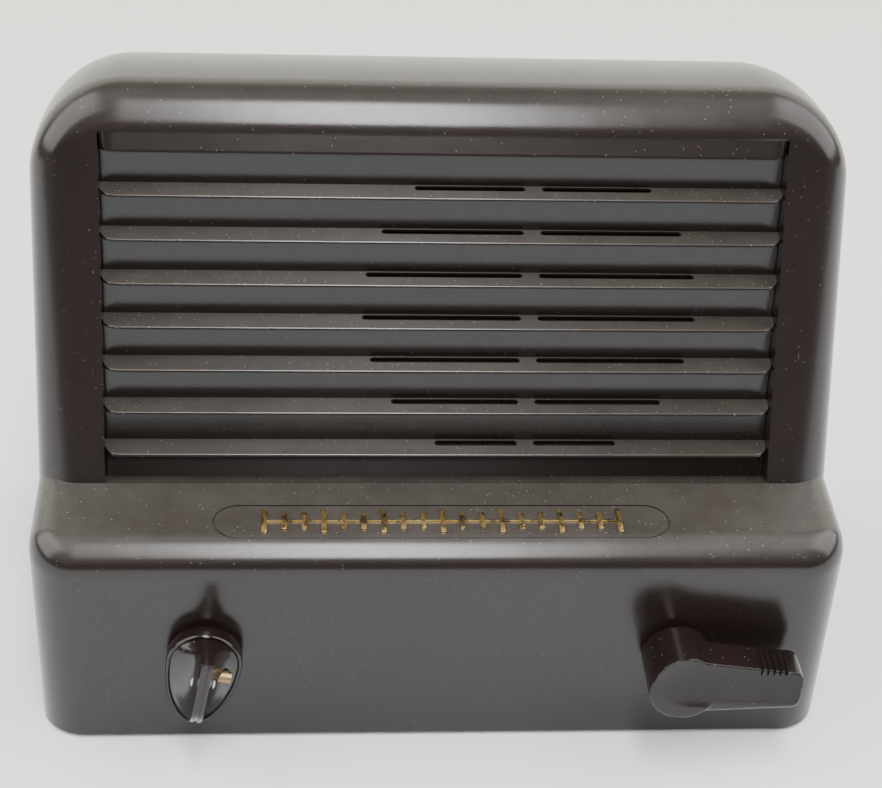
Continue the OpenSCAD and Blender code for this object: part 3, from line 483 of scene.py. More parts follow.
def rounded_bar(name, length, width, low, high):
    """An upright bar with half-round ends, standing on the ledge's slope."""
    outline = []
    for side in (1, -1):
        for i in range(OBLONG_STEPS + 1):
            a = math.radians(-90 + 180 * i / OBLONG_STEPS)
            outline.append((side * ((length - width) / 2 + width / 2 * math.cos(a)),
                            side * width / 2 * math.sin(a)))
    layers = []
    for h in (low, high):
        ledge = [(x, OBLONG_Y + y, LEDGE_FRONT + ledge_slope * (OBLONG_Y + y) + h)
                 for x, y in outline]
        layers.append([at(*p) for p in ledge])
    return lofted(name, layers)


groove = rounded_bar("groove", OBLONG_L, OBLONG_W, -GROOVE_D, 1.0)
island = rounded_bar("island", OBLONG_L - 2 * GROOVE_W, OBLONG_W - 2 * GROOVE_W, -1.0, 2.0)
combined(groove, island, "DIFFERENCE")
combined(moulding, groove, "DIFFERENCE")
for x in (VOLUME_X, TALK_X):
    let_go()
    bpy.ops.mesh.primitive_cylinder_add(vertices=48, radius=(SHAFT_R + SHAFT_ROOM) * MM,
                                        depth=HOLE_DEPTH * MM, location=at(x, HOLE_Y, SHAFT_H),
                                        rotation=(math.pi / 2, 0, 0))
    combined(moulding, settle(named("hole")), "DIFFERENCE")
shade(moulding, 30)
applied(moulding, "WEIGHTED_NORMAL", keep_sharp=True)
moulding.name = "cabinet_moulding"
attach(moulding, "station")
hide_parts("cabinet")
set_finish(moulding, "moulding")
print("cabinet:", len(moulding.data.polygons), "faces")

# %% [markdown]
# ## The volume knob
# A pointer knob: a leaf-shaped foot carries a thin ridge, and a scooped facet rises from the rim to
# the ridge on both sides. Each outline of the knob can be drawn point for point, so the skin is
# wrapped round a pile of them, from the back of the foot to a hairline groove along the ridge. The
# hole for the set screw is drilled last.

# %% Frames and outlines of the knobs
KNOB_GAP = 0.9


def shaft_frame(x, turn):
    """Local z runs out of the panel along the shaft, local y up, turned about the shaft."""
    return (Matrix.Translation(at(x, 0, SHAFT_H)) @ Matrix.Rotation(math.radians(90), 4, "X")
            @ Matrix.Rotation(math.radians(turn), 4, "Z"))


def placed_on(frame_of_piece, points):
    return [frame_of_piece @ (Vector(p) * MM) for p in points]


LEAF_R, LEAF_REACH = 10.0, 21.5
LEAF_STEPS = 36


def leaf(draw):
    """Half of the leaf's outline, from the top round the right side to the tip."""
    points = []
    for i in range(LEAF_STEPS + 1):
        a = math.pi * i / LEAF_STEPS
        if a <= math.pi / 2:
            points.append(((LEAF_R - draw) * math.sin(a), (LEAF_R - draw) * math.cos(a)))
        else:
            points.append(((LEAF_R - draw) * math.sin(a) ** 1.12,
                           (LEAF_REACH - draw) * math.cos(a)))
    return points


def both_sides(right_half):
    return right_half + [(-x, y, z) for x, y, z in reversed(right_half[1:-1])]


print("leaf's outline:", len(both_sides([(x, y, 0) for x, y in leaf(0)])), "points")


# %% The knob's ridge and facets
FACET_LOW, FACET_DRAW = 4.7, 1.2
RIDGE_HALF, RIDGE_TOP, RIDGE_TIP = 1.5, 9.5, -20.0
RIDGE_H, RIDGE_LOW, RIDGE_BREAK = 16.0, 5.4, -8.0
SCOOP = 1.7
FACET_STEPS = 14


def ridge_height(y):
    fall = max(0.0, (RIDGE_BREAK - y) / (RIDGE_BREAK - RIDGE_TIP))
    return RIDGE_H - (RIDGE_H - RIDGE_LOW) * fall ** 1.35 - 0.45 * max(0.0, (y - 7.5) / 2) ** 2


def ridge(half):
    """Half of the ridge's outline, point for point beside the leaf's."""
    points = []
    for x, y in leaf(FACET_DRAW):
        share = (y + LEAF_REACH - FACET_DRAW) / (LEAF_R + LEAF_REACH - 2 * FACET_DRAW)
        along = RIDGE_TIP + (RIDGE_TOP - RIDGE_TIP) * share
        points.append((half * min(1.0, x / 1.8), along, ridge_height(along)))
    return points


knob_layers = [[(x, y, h) for x, y in leaf(d)] for d, h in
               ((0.5, KNOB_GAP), (0.15, KNOB_GAP + 0.12), (0, KNOB_GAP + 0.5), (0, 4.3),
                (0.08, 4.7), (0.3, 4.95), (0.75, 4.98), (0.95, 4.85), (1.05, FACET_LOW))]
for i in range(1, FACET_STEPS + 1):
    t = i / FACET_STEPS
    near_leaf = (1 - t) ** SCOOP
    knob_layers.append([(r[0] + (x - r[0]) * near_leaf, r[1] + (y - r[1]) * near_leaf,
                         FACET_LOW + (r[2] - FACET_LOW) * t)
                        for (x, y), r in zip(leaf(FACET_DRAW), ridge(RIDGE_HALF))])
for half, lift in ((RIDGE_HALF - 0.25, 0.14), (0.55, 0.2), (0.4, 0.1), (0.3, -0.25), (0.0, -0.3)):
    knob_layers.append([(x, y, h + lift) for x, y, h in ridge(half)])
volume_frame = shaft_frame(VOLUME_X, -10)
volume_knob = lofted("volume_pointer_knob",
                     [placed_on(volume_frame, both_sides(layer)) for layer in knob_layers])
print("volume knob:", len(volume_knob.data.polygons), "faces")

# %% Drill the set screw's hole and finish the knob
DRILL_R, DRILL_L, DRILL_FROM = 1.75, 14, 3.2
low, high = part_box("volume_set_screw")
screw_out = ((at(0, 0, 0).y - (low[1] + high[1]) / 2) / MM)
drill_mid = Vector((DRILL_FROM + DRILL_L / 2, 0, screw_out)) * MM
drill = rod("drill", DRILL_R, DRILL_L, volume_frame @ Matrix.Translation(drill_mid)
            @ Matrix.Rotation(math.radians(90), 4, "Y"), 32)
combined(volume_knob, drill, "DIFFERENCE")
shade(volume_knob, 40)
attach(volume_knob, "volume")
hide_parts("volume_knob")
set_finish(volume_knob, "knob_moulding")
print("volume knob, drilled:", len(volume_knob.data.polygons), "faces")

# %% [markdown]
# ## The talk lever
# A round hub carries a flat arm. Both were moulded in one, and a long shallow scoop in the front
# leaves only a crescent of the hub's flat front. Hub, arm and scoop are plain solids added and taken
# away, then remeshed in 0.28 mm cells and smoothed, which rounds every edge as a moulding tool does.

# %% Hub and arm
HUB_R, LEVER_H, LEVER_REACH, TIP_W = 9.3, 16.8, 32.0, 11.0
DROOP = 3
ARM_LOW, ARM_TOP = 4.0, 16.2
talk_frame_of = shaft_frame(TALK_X, -DROOP)
BAND_STEPS = 72


def round_of(circles, draw):
    """The outline of a band pulled tight round some circles, drawn in by draw."""
    points = []
    for i in range(BAND_STEPS):
        a = 2 * math.pi * i / BAND_STEPS
        n = Vector((math.cos(a), math.sin(a)))
        far = max(circles, key=lambda c: n.x * c[0] + n.y * c[1] + c[2])
        points.append((far[0] + (far[2] - draw) * n.x, far[1] + (far[2] - draw) * n.y))
    return points


def slab(name, circles, layers, frame_of_piece):
    return lofted(name, [placed_on(frame_of_piece, [(x, y, h) for x, y in round_of(circles, d)])
                         for h, d in layers])


def soft_layers(low, high, edge):
    turns = [math.radians(a) for a in (0, 30, 60, 90)]
    up = [(low + edge - edge * math.cos(a), edge - edge * math.sin(a)) for a in turns]
    down = [(high - edge + edge * math.sin(a), edge - edge * math.cos(a)) for a in turns]
    return up + down


TIP_R, ARM_X, ARM_R = 2.6, 3.2, 8.0
HUB_EDGE, ARM_EDGE = 0.4, 1.5
tip_x, tip_y = LEVER_REACH - TIP_R, TIP_W / 2 - TIP_R
lever = slab("talk_lever", [(0, 0, HUB_R)], soft_layers(KNOB_GAP, LEVER_H, HUB_EDGE),
             talk_frame_of)
arm = slab("arm", [(ARM_X, 0, ARM_R), (tip_x, tip_y, TIP_R), (tip_x, -tip_y, TIP_R)],
           soft_layers(ARM_LOW, ARM_TOP, ARM_EDGE), talk_frame_of)
combined(lever, arm, "UNION")
print("hub and arm:", len(lever.data.polygons), "faces")

# %% The scoop and the ribs
SCOOP_R, SCOOP_AT, SCOOP_DEPTH, TROUGH_L = 31.0, (3.0, 6.7), 2.5, 60
CELL = 0.28
scoop_z = LEVER_H + SCOOP_R - SCOOP_DEPTH
let_go()
bpy.ops.mesh.primitive_uv_sphere_add(segments=160, ring_count=80, radius=SCOOP_R * MM)
scoop = named("scoop")
scoop.matrix_world = talk_frame_of @ Matrix.Translation(Vector((*SCOOP_AT, scoop_z)) * MM)
settle(scoop)
combined(lever, scoop, "DIFFERENCE")
trough_mid = Vector((SCOOP_AT[0] + TROUGH_L / 2, SCOOP_AT[1], scoop_z)) * MM
trough = rod("trough", SCOOP_R, TROUGH_L, talk_frame_of @ Matrix.Translation(trough_mid)
             @ Matrix.Rotation(math.radians(90), 4, "Y"), 180)
combined(lever, trough, "DIFFERENCE")
applied(lever, "REMESH", mode="VOXEL", voxel_size=CELL * MM)
applied(lever, "SMOOTH", factor=0.5, iterations=4)
print("lever:", len(lever.data.polygons), "faces")

# %% Grip ribs near the tip, and the shaft's bore
RIBS, RIB_FIRST, RIB_PITCH, RIB_CUT = 5, 20.2, 1.65, 0.32
RIB_L, RIB_Y, RIB_Z, RIB_TILT = 13, 6.9, 14.3, 6
SIDE_L, SIDE_Z, SIDE_WIDER = 14, 11, 1.3
rib_cutters = []
for i in range(RIBS):
    rib_x = RIB_FIRST + i * RIB_PITCH
    edge_y = ARM_R + (TIP_W / 2 - ARM_R) * (rib_x - ARM_X) / (tip_x - ARM_X)
    front = talk_frame_of @ Matrix.Translation(Vector((rib_x, RIB_Y, RIB_Z)) * MM)
    side = talk_frame_of @ Matrix.Translation(Vector((rib_x, edge_y, SIDE_Z)) * MM)
    tilt = Matrix.Rotation(math.radians(90 + RIB_TILT), 4, "X")
    rib_cutters.append(rod("rib", RIB_CUT, RIB_L, front @ tilt, 16))
    rib_cutters.append(rod("rib", RIB_CUT * SIDE_WIDER, SIDE_L, side, 16))
for cutter in rib_cutters:
    combined(lever, cutter, "DIFFERENCE")
shade(lever, 40)
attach(lever, "talk")
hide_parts("talk_knob")
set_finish(lever, "lever_moulding")
print("lever, ribbed:", len(lever.data.polygons), "faces")

# %% [markdown]
# ## The gilt ornament
# A row of gilt bars on one thin rail sits in the engraved oblong, in the place of a name. Each bar is
# a small cube stretched to its size, with a chamfer that catches the light.

# %% Gilt bars
BARS, BAR_PITCH, BAR_L, BAR_W, BAR_H = 19, 5.2, 9.0, 1.3, 0.5
BAR_SUNK, SHORT_BAR, BAR_CHAMFER, RAIL_CHAMFER = 0.2, 0.72, 0.16, 0.12
ledge_frame = (Matrix.Translation(at(0, OBLONG_Y, LEDGE_FRONT + ledge_slope * OBLONG_Y))
               @ Matrix.Rotation(math.atan(ledge_slope), 4, "X"))


def ledge_bar(x, width, length, height, chamfer):
    let_go()
    bpy.ops.mesh.primitive_cube_add(size=1)
    bar = named("bar")
    middle = Vector((x, 0, height / 2 - BAR_SUNK / 2)) * MM
    bar.matrix_world = (ledge_frame @ Matrix.Translation(middle)
                        @ Matrix.Diagonal((width * MM, length * MM, (height + BAR_SUNK) * MM, 1)))
    settle(bar)
    pick(bar, "EDGE", lambda e: True)
    bpy.ops.mesh.bevel(offset=chamfer * MM, segments=2, affect="EDGES")
    done_editing()
    return bar


bars = []
for i in range(BARS):
    length = BAR_L * (1 if i % 3 == 0 else SHORT_BAR)
    bars.append(ledge_bar((i - (BARS - 1) / 2) * BAR_PITCH, BAR_W, length, BAR_H, BAR_CHAMFER))
ornament = ledge_bar(0, (BARS - 1) * BAR_PITCH, BAR_W / 2, BAR_H - 0.05, RAIL_CHAMFER)
for bar in bars:
    combined(ornament, bar, "UNION")
shade(ornament, 25)
ornament.name = "gilt_bars"
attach(ornament, "station")
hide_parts("ledge_ornament")
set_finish(ornament, "gilt")
print("ornament:", len(ornament.data.polygons), "faces")

# %% [markdown]
# ## Screws and feet
# Both are turned parts. A circle is extruded ring by ring, as on a lathe, and each ring is scaled to
# its radius. A thin block then cuts the screw's slot. One screw of each kind is made and copied, with
# every slot left at another angle, as hand-driven screws are.

# %% A lathe for small parts
TURNED_STEPS = 40


def turned(name, rings):
    """A turned piece standing on local z, from [radius, height] rings in millimetres."""
    let_go()
    radius, height = rings[0]
    bpy.ops.mesh.primitive_circle_add(vertices=TURNED_STEPS, radius=radius * MM, fill_type="NGON")
    piece = named(name)
    bpy.ops.object.mode_set(mode="EDIT")
    bpy.ops.mesh.select_all(action="SELECT")
    bpy.ops.transform.translate(value=(0, 0, height * MM))
    for r, h in rings[1:]:
        bpy.ops.mesh.extrude_region_move(TRANSFORM_OT_translate={"value": (0, 0, (h - height) * MM)})
        bpy.ops.transform.resize(value=(r / radius, r / radius, 1), center_override=(0, 0, h * MM))
        radius, height = r, h
    bpy.ops.mesh.select_all(action="SELECT")
    bpy.ops.mesh.normals_make_consistent(inside=False)
    done_editing()
    return piece


def twin(piece, name, place):
    copy = piece.copy()
    copy.data = piece.data.copy()
    copy.name = name
    bpy.context.scene.collection.objects.link(copy)
    copy.matrix_world = place
    return settle(copy)


def slotted_screw(name, head_r, head_h, shank_r, shank_l, slot_w):
    screw = turned(name, [(shank_r - 0.3, -shank_l), (shank_r, -shank_l + 0.4), (shank_r, 0),
                          (head_r - 0.1, 0.0), (head_r, 0.12), (head_r, head_h * 0.4),
                          (head_r * 0.96, head_h * 0.62), (head_r * 0.84, head_h * 0.82),
                          (head_r * 0.62, head_h * 0.95), (head_r * 0.3, head_h)])
    let_go()
    bpy.ops.mesh.primitive_cube_add(size=1)
    cutter = named("slot")
    cutter.scale = (slot_w * MM, 3 * head_r * MM, head_h * 0.55 * 2 * MM)
    cutter.location = (0, 0, head_h * MM)
    settle(cutter)
    combined(screw, cutter, "DIFFERENCE")
    return screw


# %% Screws at the back, under the base and on the terminals
def turned_to(x, y, z, axis_turn, spin):
    return (Matrix.Translation(at(x, y, z)) @ axis_turn
            @ Matrix.Rotation(math.radians(spin), 4, "Z"))


TO_BACK = Matrix.Rotation(math.radians(-90), 4, "X")
TO_FLOOR = Matrix.Rotation(math.radians(180), 4, "X")
BOSS_X, BOSS_Z = 100.4, (24, 126)
COVER_BACK = 117.0
POST_X, POST_Y = 96.5, (13.5, 102.0)
CHASSIS_BACK, TERMINAL_T, TERMINAL_Z, TERMINAL_PITCH = 106.0, 4.0, 30.0, 12.0

screw_sets = (
    ("back_screws", "screw_steel", slotted_screw("back_screw", 3.2, 1.6, 1.6, 12.8, 0.8),
     [turned_to(side * BOSS_X, COVER_BACK, z, TO_BACK, 37 * i + 12)
      for i, (side, z) in enumerate((s, z) for s in (-1, 1) for z in BOSS_Z)]),
    ("base_screws", "screw_steel", slotted_screw("base_screw", 3.2, 1.28, 1.6, 13.6, 0.8),
     [turned_to(side * POST_X, y, 2.0, TO_FLOOR, 53 * i + 20)
      for i, (side, y) in enumerate((s, y) for s in (-1, 1) for y in POST_Y)]),
    ("terminal_screws", "brass_screw", slotted_screw("terminal_screw", 3.4, 1.8, 1.5, 5.4, 0.9),
     [turned_to((i - 2) * TERMINAL_PITCH, CHASSIS_BACK + TERMINAL_T, TERMINAL_Z, TO_BACK, 71 * i + 8)
      for i in range(5)]))
for node, slot, model, places in screw_sets:
    for i, place in enumerate(places):
        screw = twin(model, f"{node[:-1]}_{i + 1}", place)
        shade(screw, 30)
        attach(screw, "station")
        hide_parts(node)
        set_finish(screw, slot)
    bpy.data.objects.remove(model)
    print(node, len(places))

# %% Rubber feet
foot = turned("foot", [(4.05, 2.0), (4.0, 0.3), (4.3, 0.0), (6.6, 0.0), (7.1, 0.25), (7.4, 0.8),
                       (7.5, 1.6), (7.5, 3.4), (7.25, 3.8), (6.9, 4.0), (1.95, 4.0), (1.9, 2.0)])
pick(foot, "FACE", lambda f: len(f.verts) > 4)
bpy.ops.mesh.delete(type="FACE")
pick(foot, "EDGE", lambda e: len(e.link_faces) == 1)
bpy.ops.mesh.bridge_edge_loops()
bpy.ops.mesh.select_all(action="SELECT")
bpy.ops.mesh.normals_make_consistent(inside=False)
done_editing()
for i, (side, y) in enumerate((s, y) for s in (-1, 1) for y in POST_Y):
    pad = twin(foot, f"rubber_foot_{i + 1}", Matrix.Translation(at(side * POST_X, y, 0)))
    shade(pad, 35)
    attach(pad, "station")
    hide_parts("rubber_feet")
    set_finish(pad, "black_rubber")
bpy.data.objects.remove(foot)
print("feet: 4")

# %% [markdown]
# ## Floor, backdrop and light
# Glossy dark plastic shows little colour of its own: it shows the room. The panel mirrors the pale
# table before it, the top mirrors the pale wall behind it, and the leaning face looks at the dim
# room, so it stays dark. The bends catch one long, narrow lamp above the front. So the stage is a
# pale sheet that curves up at the back, and the world is dim. Two wide lamps at the sides light the
# sheet, and a weak one lights its upright part.

# %% Floor and backdrop
SHEET_W, SHEET_FRONT, SHEET_REAR, SHEET_WALL = 3.4, -1.0, 0.75, 0.9
SWEEP_R, SWEEP_STEPS = 0.35, 12
let_go()
bpy.ops.mesh.primitive_plane_add(size=1)
floor = named("table_sheet")
for vertex in floor.data.vertices:
    vertex.co = Vector((vertex.co.x * SHEET_W, SHEET_FRONT if vertex.co.y < 0 else SHEET_REAR, 0))
for i in range(1, SWEEP_STEPS + 2):
    edge_y = max(v.co.y for v in floor.data.vertices)
    edge_z = max(v.co.z for v in floor.data.vertices)
    pick(floor, "EDGE", lambda e: all(abs(v.co.y - edge_y) < NEAR and abs(v.co.z - edge_z) < NEAR
                                      for v in e.verts))
    a = math.radians(90 * min(i, SWEEP_STEPS) / SWEEP_STEPS)
    y, z = SHEET_REAR + SWEEP_R * math.sin(a), SWEEP_R - SWEEP_R * math.cos(a)
    if i > SWEEP_STEPS:
        z += SHEET_WALL
    bpy.ops.mesh.extrude_edges_move(TRANSFORM_OT_translate={"value": (0, y - edge_y, z - edge_z)})
    done_editing()
shade(floor, 40)
print("stage:", len(floor.data.polygons), "strips")

# %% World and lamps
world = bpy.data.worlds.new("room")
bpy.context.scene.world = world
world.use_nodes = True
backdrop_node = world.node_tree.nodes["Background"]
backdrop_node.inputs["Color"].default_value = (0.93, 0.97, 1.0, 1)
backdrop_node.inputs["Strength"].default_value = 0.25


def soft_lamp(name, place, aim, size, power):
    """A rectangular lamp, placed and aimed in metres."""
    bpy.ops.object.light_add(type="AREA", location=place)
    lamp = bpy.context.object
    lamp.name = name
    lamp.data.shape = "RECTANGLE"
    lamp.data.size, lamp.data.size_y = size
    lamp.data.energy = power
    lamp.rotation_euler = (Vector(aim) - Vector(place)).to_track_quat("-Z", "Y").to_euler()
    return lamp


soft_lamp("front_lamp", (0.015, -0.60, 1.05), (0, 0, 0.1), (0.20, 1.0), 18.0)
soft_lamp("left_fill", (-1.3, -0.1, 1.1), (0, 0.1, 0), (1.8, 1.8), 36.0)
soft_lamp("right_fill", (1.3, 0.0, 1.1), (0, 0.1, 0), (1.8, 1.8), 36.0)
soft_lamp("wall_lamp", (0.0, 0.2, 1.8), (0, 1.0, 0.2), (2.4, 1.0), 5.0)

# %% [markdown]
# ## Shared effects
# Several finishes need the same few effects: settled dust with a painted sheen on the crown, a faint
# mottle in colour, and a fine unevenness of the surface. Each is one node group with its own sliders,
# which gives a mask or a normal, and each material adds it with its own amounts. Specks cling
# everywhere but underneath. The dull film lies on level places only, and the crown keeps a smaller
# share of it. That share is set high enough to paint in the pale wall's reflection on the top, so on
# the crown the film is partly dust and partly painted reflection.

# %% A helper for wiring nodes
def group(name, inputs, outputs):
    tree = bpy.data.node_groups.new(name, "ShaderNodeTree")
    for label, value in inputs:
        socket = tree.interface.new_socket(label, in_out="INPUT", socket_type="NodeSocketFloat")
        socket.default_value = value
    for label, kind in outputs:
        tree.interface.new_socket(label, in_out="OUTPUT", socket_type=kind)
    start = tree.nodes.new("NodeGroupInput")
    end = tree.nodes.new("NodeGroupOutput")
    return tree, start, end


def node(tree, kind, links=(), **settings):
    """A new node: settings name its properties or inputs, links feed its inputs."""
    made = tree.nodes.new(kind)
    for key, value in settings.items():
        if hasattr(made, key):
            setattr(made, key, value)
        else:
            made.inputs[key.replace("_", " ")].default_value = value
    for socket, source in links:
        tree.links.new(source, made.inputs[socket])
    return made


def maths(tree, operation, a, b=None, c=None, clamp=False):
    made = tree.nodes.new("ShaderNodeMath")
    made.operation, made.use_clamp = operation, clamp
    for slot, value in zip(made.inputs, (a, b, c)):
        if value is None:
            continue
        if isinstance(value, (int, float)):
            slot.default_value = value
        else:
            tree.links.new(value, slot)
    return made.outputs[0]


def ramp(tree, factor, low, high, steep="LINEAR"):
    """0 below low, 1 above high."""
    made = node(tree, "ShaderNodeMapRange", [("Value", factor)])
    made.interpolation_type = steep
    made.inputs["From Min"].default_value, made.inputs["From Max"].default_value = low, high
    return made.outputs["Result"]


# %% Dust, mottle and ripple
# The crown's share of the film lightens the top as a painted reflection of the wall, so it is partly
# dust and partly painted reflection.
CROWN_LOW, CROWN_HIGH, CROWN_FILM_AND_SHEEN = 0.152, 0.157, 0.55


def dust_and_sheen_group():
    tree, start, end = group("dust_and_crown_sheen", [("Specks", 1.0), ("Film", 0.3), ("Size", 1.0)],
                             [("Mask", "NodeSocketFloat")])
    coords = node(tree, "ShaderNodeTexCoord")
    up = node(tree, "ShaderNodeSeparateXYZ", [("Vector", coords.outputs["Normal"])]).outputs["Z"]
    facing = ramp(tree, up, -0.35, 0.9)
    level = ramp(tree, up, 0.4, 0.97)
    height = node(tree, "ShaderNodeSeparateXYZ", [("Vector", coords.outputs["Object"])]).outputs["Z"]
    # Full film below the crown and a smaller share on it. On the crown that film partly paints the
    # wall's reflection.
    film_and_sheen_by_height = maths(tree, "MULTIPLY_ADD", ramp(tree, height, CROWN_HIGH, CROWN_LOW),
                      1 - CROWN_FILM_AND_SHEEN, CROWN_FILM_AND_SHEEN)
    scale = maths(tree, "DIVIDE", 900.0, start.outputs["Size"])
    cells = node(tree, "ShaderNodeTexVoronoi",
                 [("Vector", coords.outputs["Object"]), ("Scale", scale)])
    dot = ramp(tree, cells.outputs["Distance"], 0.24, 0.1)
    chosen = node(tree, "ShaderNodeSeparateColor", [("Color", cells.outputs["Color"])])
    rare = ramp(tree, chosen.outputs[0], 0.93, 0.95)
    dots = maths(tree, "MULTIPLY", maths(tree, "MULTIPLY", dot, rare), start.outputs["Specks"])
    specks = maths(tree, "MULTIPLY", dots, facing)
    cloud = node(tree, "ShaderNodeTexNoise", [("Vector", coords.outputs["Object"])],
                 Scale=60.0, Detail=8.0, Roughness=0.7).outputs["Fac"]
    patchy = maths(tree, "MULTIPLY_ADD", ramp(tree, cloud, 0.35, 0.75), 0.4, 0.6)
    film_and_sheen = maths(tree, "MULTIPLY", maths(tree, "MULTIPLY", patchy, start.outputs["Film"]), film_and_sheen_by_height)
    total = maths(tree, "ADD", specks, maths(tree, "MULTIPLY", film_and_sheen, level), clamp=True)
    tree.links.new(total, end.inputs["Mask"])
    return tree


def mottle_group():
    tree, start, end = group("mottle", [("Scale", 30.0), ("Contrast", 1.0)],
                             [("Broad", "NodeSocketFloat"), ("Fine", "NodeSocketFloat")])
    coords = node(tree, "ShaderNodeTexCoord").outputs["Object"]
    for label, factor, detail in (("Broad", 1.0, 4.0), ("Fine", 9.0, 6.0)):
        scale = maths(tree, "MULTIPLY", start.outputs["Scale"], factor)
        noise = node(tree, "ShaderNodeTexNoise", [("Vector", coords), ("Scale", scale)],
                     Detail=detail, Roughness=0.6).outputs["Fac"]
        level = maths(tree, "MULTIPLY_ADD", maths(tree, "SUBTRACT", noise, 0.5),
                      maths(tree, "MULTIPLY", start.outputs["Contrast"], 2.0), 0.5, clamp=True)
        tree.links.new(level, end.inputs[label])
    return tree


def ripple_group():
    tree, start, end = group("ripple", [("Scale", 120.0), ("Depth", 0.1), ("Fine", 0.05)],
                             [("Normal", "NodeSocketVector")])
    coords = node(tree, "ShaderNodeTexCoord").outputs["Object"]
    broad = node(tree, "ShaderNodeTexNoise", [("Vector", coords), ("Scale", start.outputs["Scale"])],
                 Detail=3.0).outputs["Fac"]
    fine_scale = maths(tree, "MULTIPLY", start.outputs["Scale"], 14.0)
    fine = node(tree, "ShaderNodeTexNoise", [("Vector", coords), ("Scale", fine_scale)],
                Detail=4.0).outputs["Fac"]
    height = maths(tree, "ADD", maths(tree, "MULTIPLY", broad, start.outputs["Depth"]),
                   maths(tree, "MULTIPLY", fine, start.outputs["Fine"]))
    bump = node(tree, "ShaderNodeBump", [("Height", height)], Distance=0.001, Strength=1.0)
    tree.links.new(bump.outputs["Normal"], end.inputs["Normal"])
    return tree


DUST_AND_SHEEN, MOTTLE, RIPPLE = dust_and_sheen_group(), mottle_group(), ripple_group()


def effect(tree, which, **amounts):
    made = tree.nodes.new("ShaderNodeGroup")
    made.node_tree = which
    for key, value in amounts.items():
        made.inputs[key].default_value = value
    return made


def mixed(tree, factor, a, b):
    """Two colours mixed by a mask; each is a colour or an output."""
    made = tree.nodes.new("ShaderNodeMix")
    made.data_type = "RGBA"
    tree.links.new(factor, made.inputs[0])
    for slot, value in ((made.inputs[6], a), (made.inputs[7], b)):
        if isinstance(value, tuple):
            slot.default_value = (*value, 1)
        else:
            tree.links.new(value, slot)
    return made.outputs[2]


print("effects:", [g.name for g in (DUST_AND_SHEEN, MOTTLE, RIPPLE)])

# %% [markdown]
# ## The plastics
# The cabinet is a polished phenolic moulding: nearly black brown, with dust where it is level. On the
# crown the dust film is also a painted reflection of the pale wall. The knobs are the same stuff, a
# little glossier. Their own colour is so dark that most of what shows is the reflected room. One
# function makes them all.

# %% Plastics
def fresh(name):
    material = bpy.data.materials.new(name)
    material.use_nodes = True
    tree = material.node_tree
    return material, tree, tree.nodes["Principled BSDF"]


def wired(tree, shader, **sources):
    for key, source in sources.items():
        tree.links.new(source, shader.inputs[key.replace("_", " ")])


# The film's colour. On the crown it also paints in the wall's reflection.
DUST_AND_SHEEN_COLOUR = (0.36, 0.34, 0.30)


def plastic(name, dark, warm, gloss, dust_and_sheen_amounts=(1.0, 0.3, 1.0), rough_spread=0.08,
            ripple=(90, 0.05, 0.02), contrast=1.0, specular=0.5, ior=1.6):
    material, tree, shader = fresh(name)
    mottle = effect(tree, MOTTLE, Scale=22.0, Contrast=contrast)
    base = mixed(tree, mottle.outputs["Broad"], dark, warm)
    # The mask is dust, and on the crown it is also a painted reflection.
    specks = effect(tree, DUST_AND_SHEEN, Specks=dust_and_sheen_amounts[0], Film=dust_and_sheen_amounts[1], Size=dust_and_sheen_amounts[2])
    colour = mixed(tree, specks.outputs["Mask"], base, DUST_AND_SHEEN_COLOUR)
    rough = maths(tree, "MULTIPLY_ADD", mottle.outputs["Fine"], rough_spread,
                  gloss - rough_spread / 2)
    dusty = maths(tree, "MULTIPLY_ADD", specks.outputs["Mask"], 0.6, rough, clamp=True)
    bump = effect(tree, RIPPLE, Scale=float(ripple[0]), Depth=ripple[1], Fine=ripple[2])
    wired(tree, shader, Base_Color=colour, Roughness=dusty, Normal=bump.outputs["Normal"])
    shader.inputs["Specular IOR Level"].default_value = specular
    shader.inputs["IOR"].default_value = ior
    return material


# The second dust figure, the film, also lightens the crown with a painted reflection of the wall.
cabinet_finish = plastic("moulded_phenolic", (0.009, 0.006, 0.005), (0.016, 0.010, 0.008), 0.20,
                         dust_and_sheen_amounts=(0.55, 0.13, 0.7), rough_spread=0.05, ripple=(90, 0.03, 0.01),
                         contrast=0.6, ior=1.5)
knob_finish = plastic("knob_phenolic", (0.005, 0.003, 0.003), (0.012, 0.006, 0.005), 0.14,
                      dust_and_sheen_amounts=(0.5, 0.01, 0.8), contrast=1.2, ior=1.5)
lever_finish = plastic("lever_phenolic", (0.005, 0.003, 0.003), (0.012, 0.006, 0.005), 0.17,
                       dust_and_sheen_amounts=(0.5, 0.01, 0.8), contrast=1.4, ior=1.42)
plain_phenolic = plastic("plain_phenolic", (0.030, 0.016, 0.011), (0.055, 0.030, 0.020), 0.35)
rubber = plastic("aged_rubber", (0.012, 0.012, 0.012), (0.030, 0.029, 0.028), 0.7,
                 dust_and_sheen_amounts=(0.6, 0.4, 1.0), specular=0.3)
print("with the plastics:", len(bpy.data.materials), "materials")

# %% [markdown]
# ## Metals, board and paper
# The rest is the stuff of old radios: plated sheet with faint stains, blued transformer iron, dull
# aluminium, copper, brass, pressed board, paper and felt.

# %% Metals
METAL_SPREAD, DUST_DULLS, METAL_DUST = 0.2, 0.8, (0.33, 0.31, 0.27)


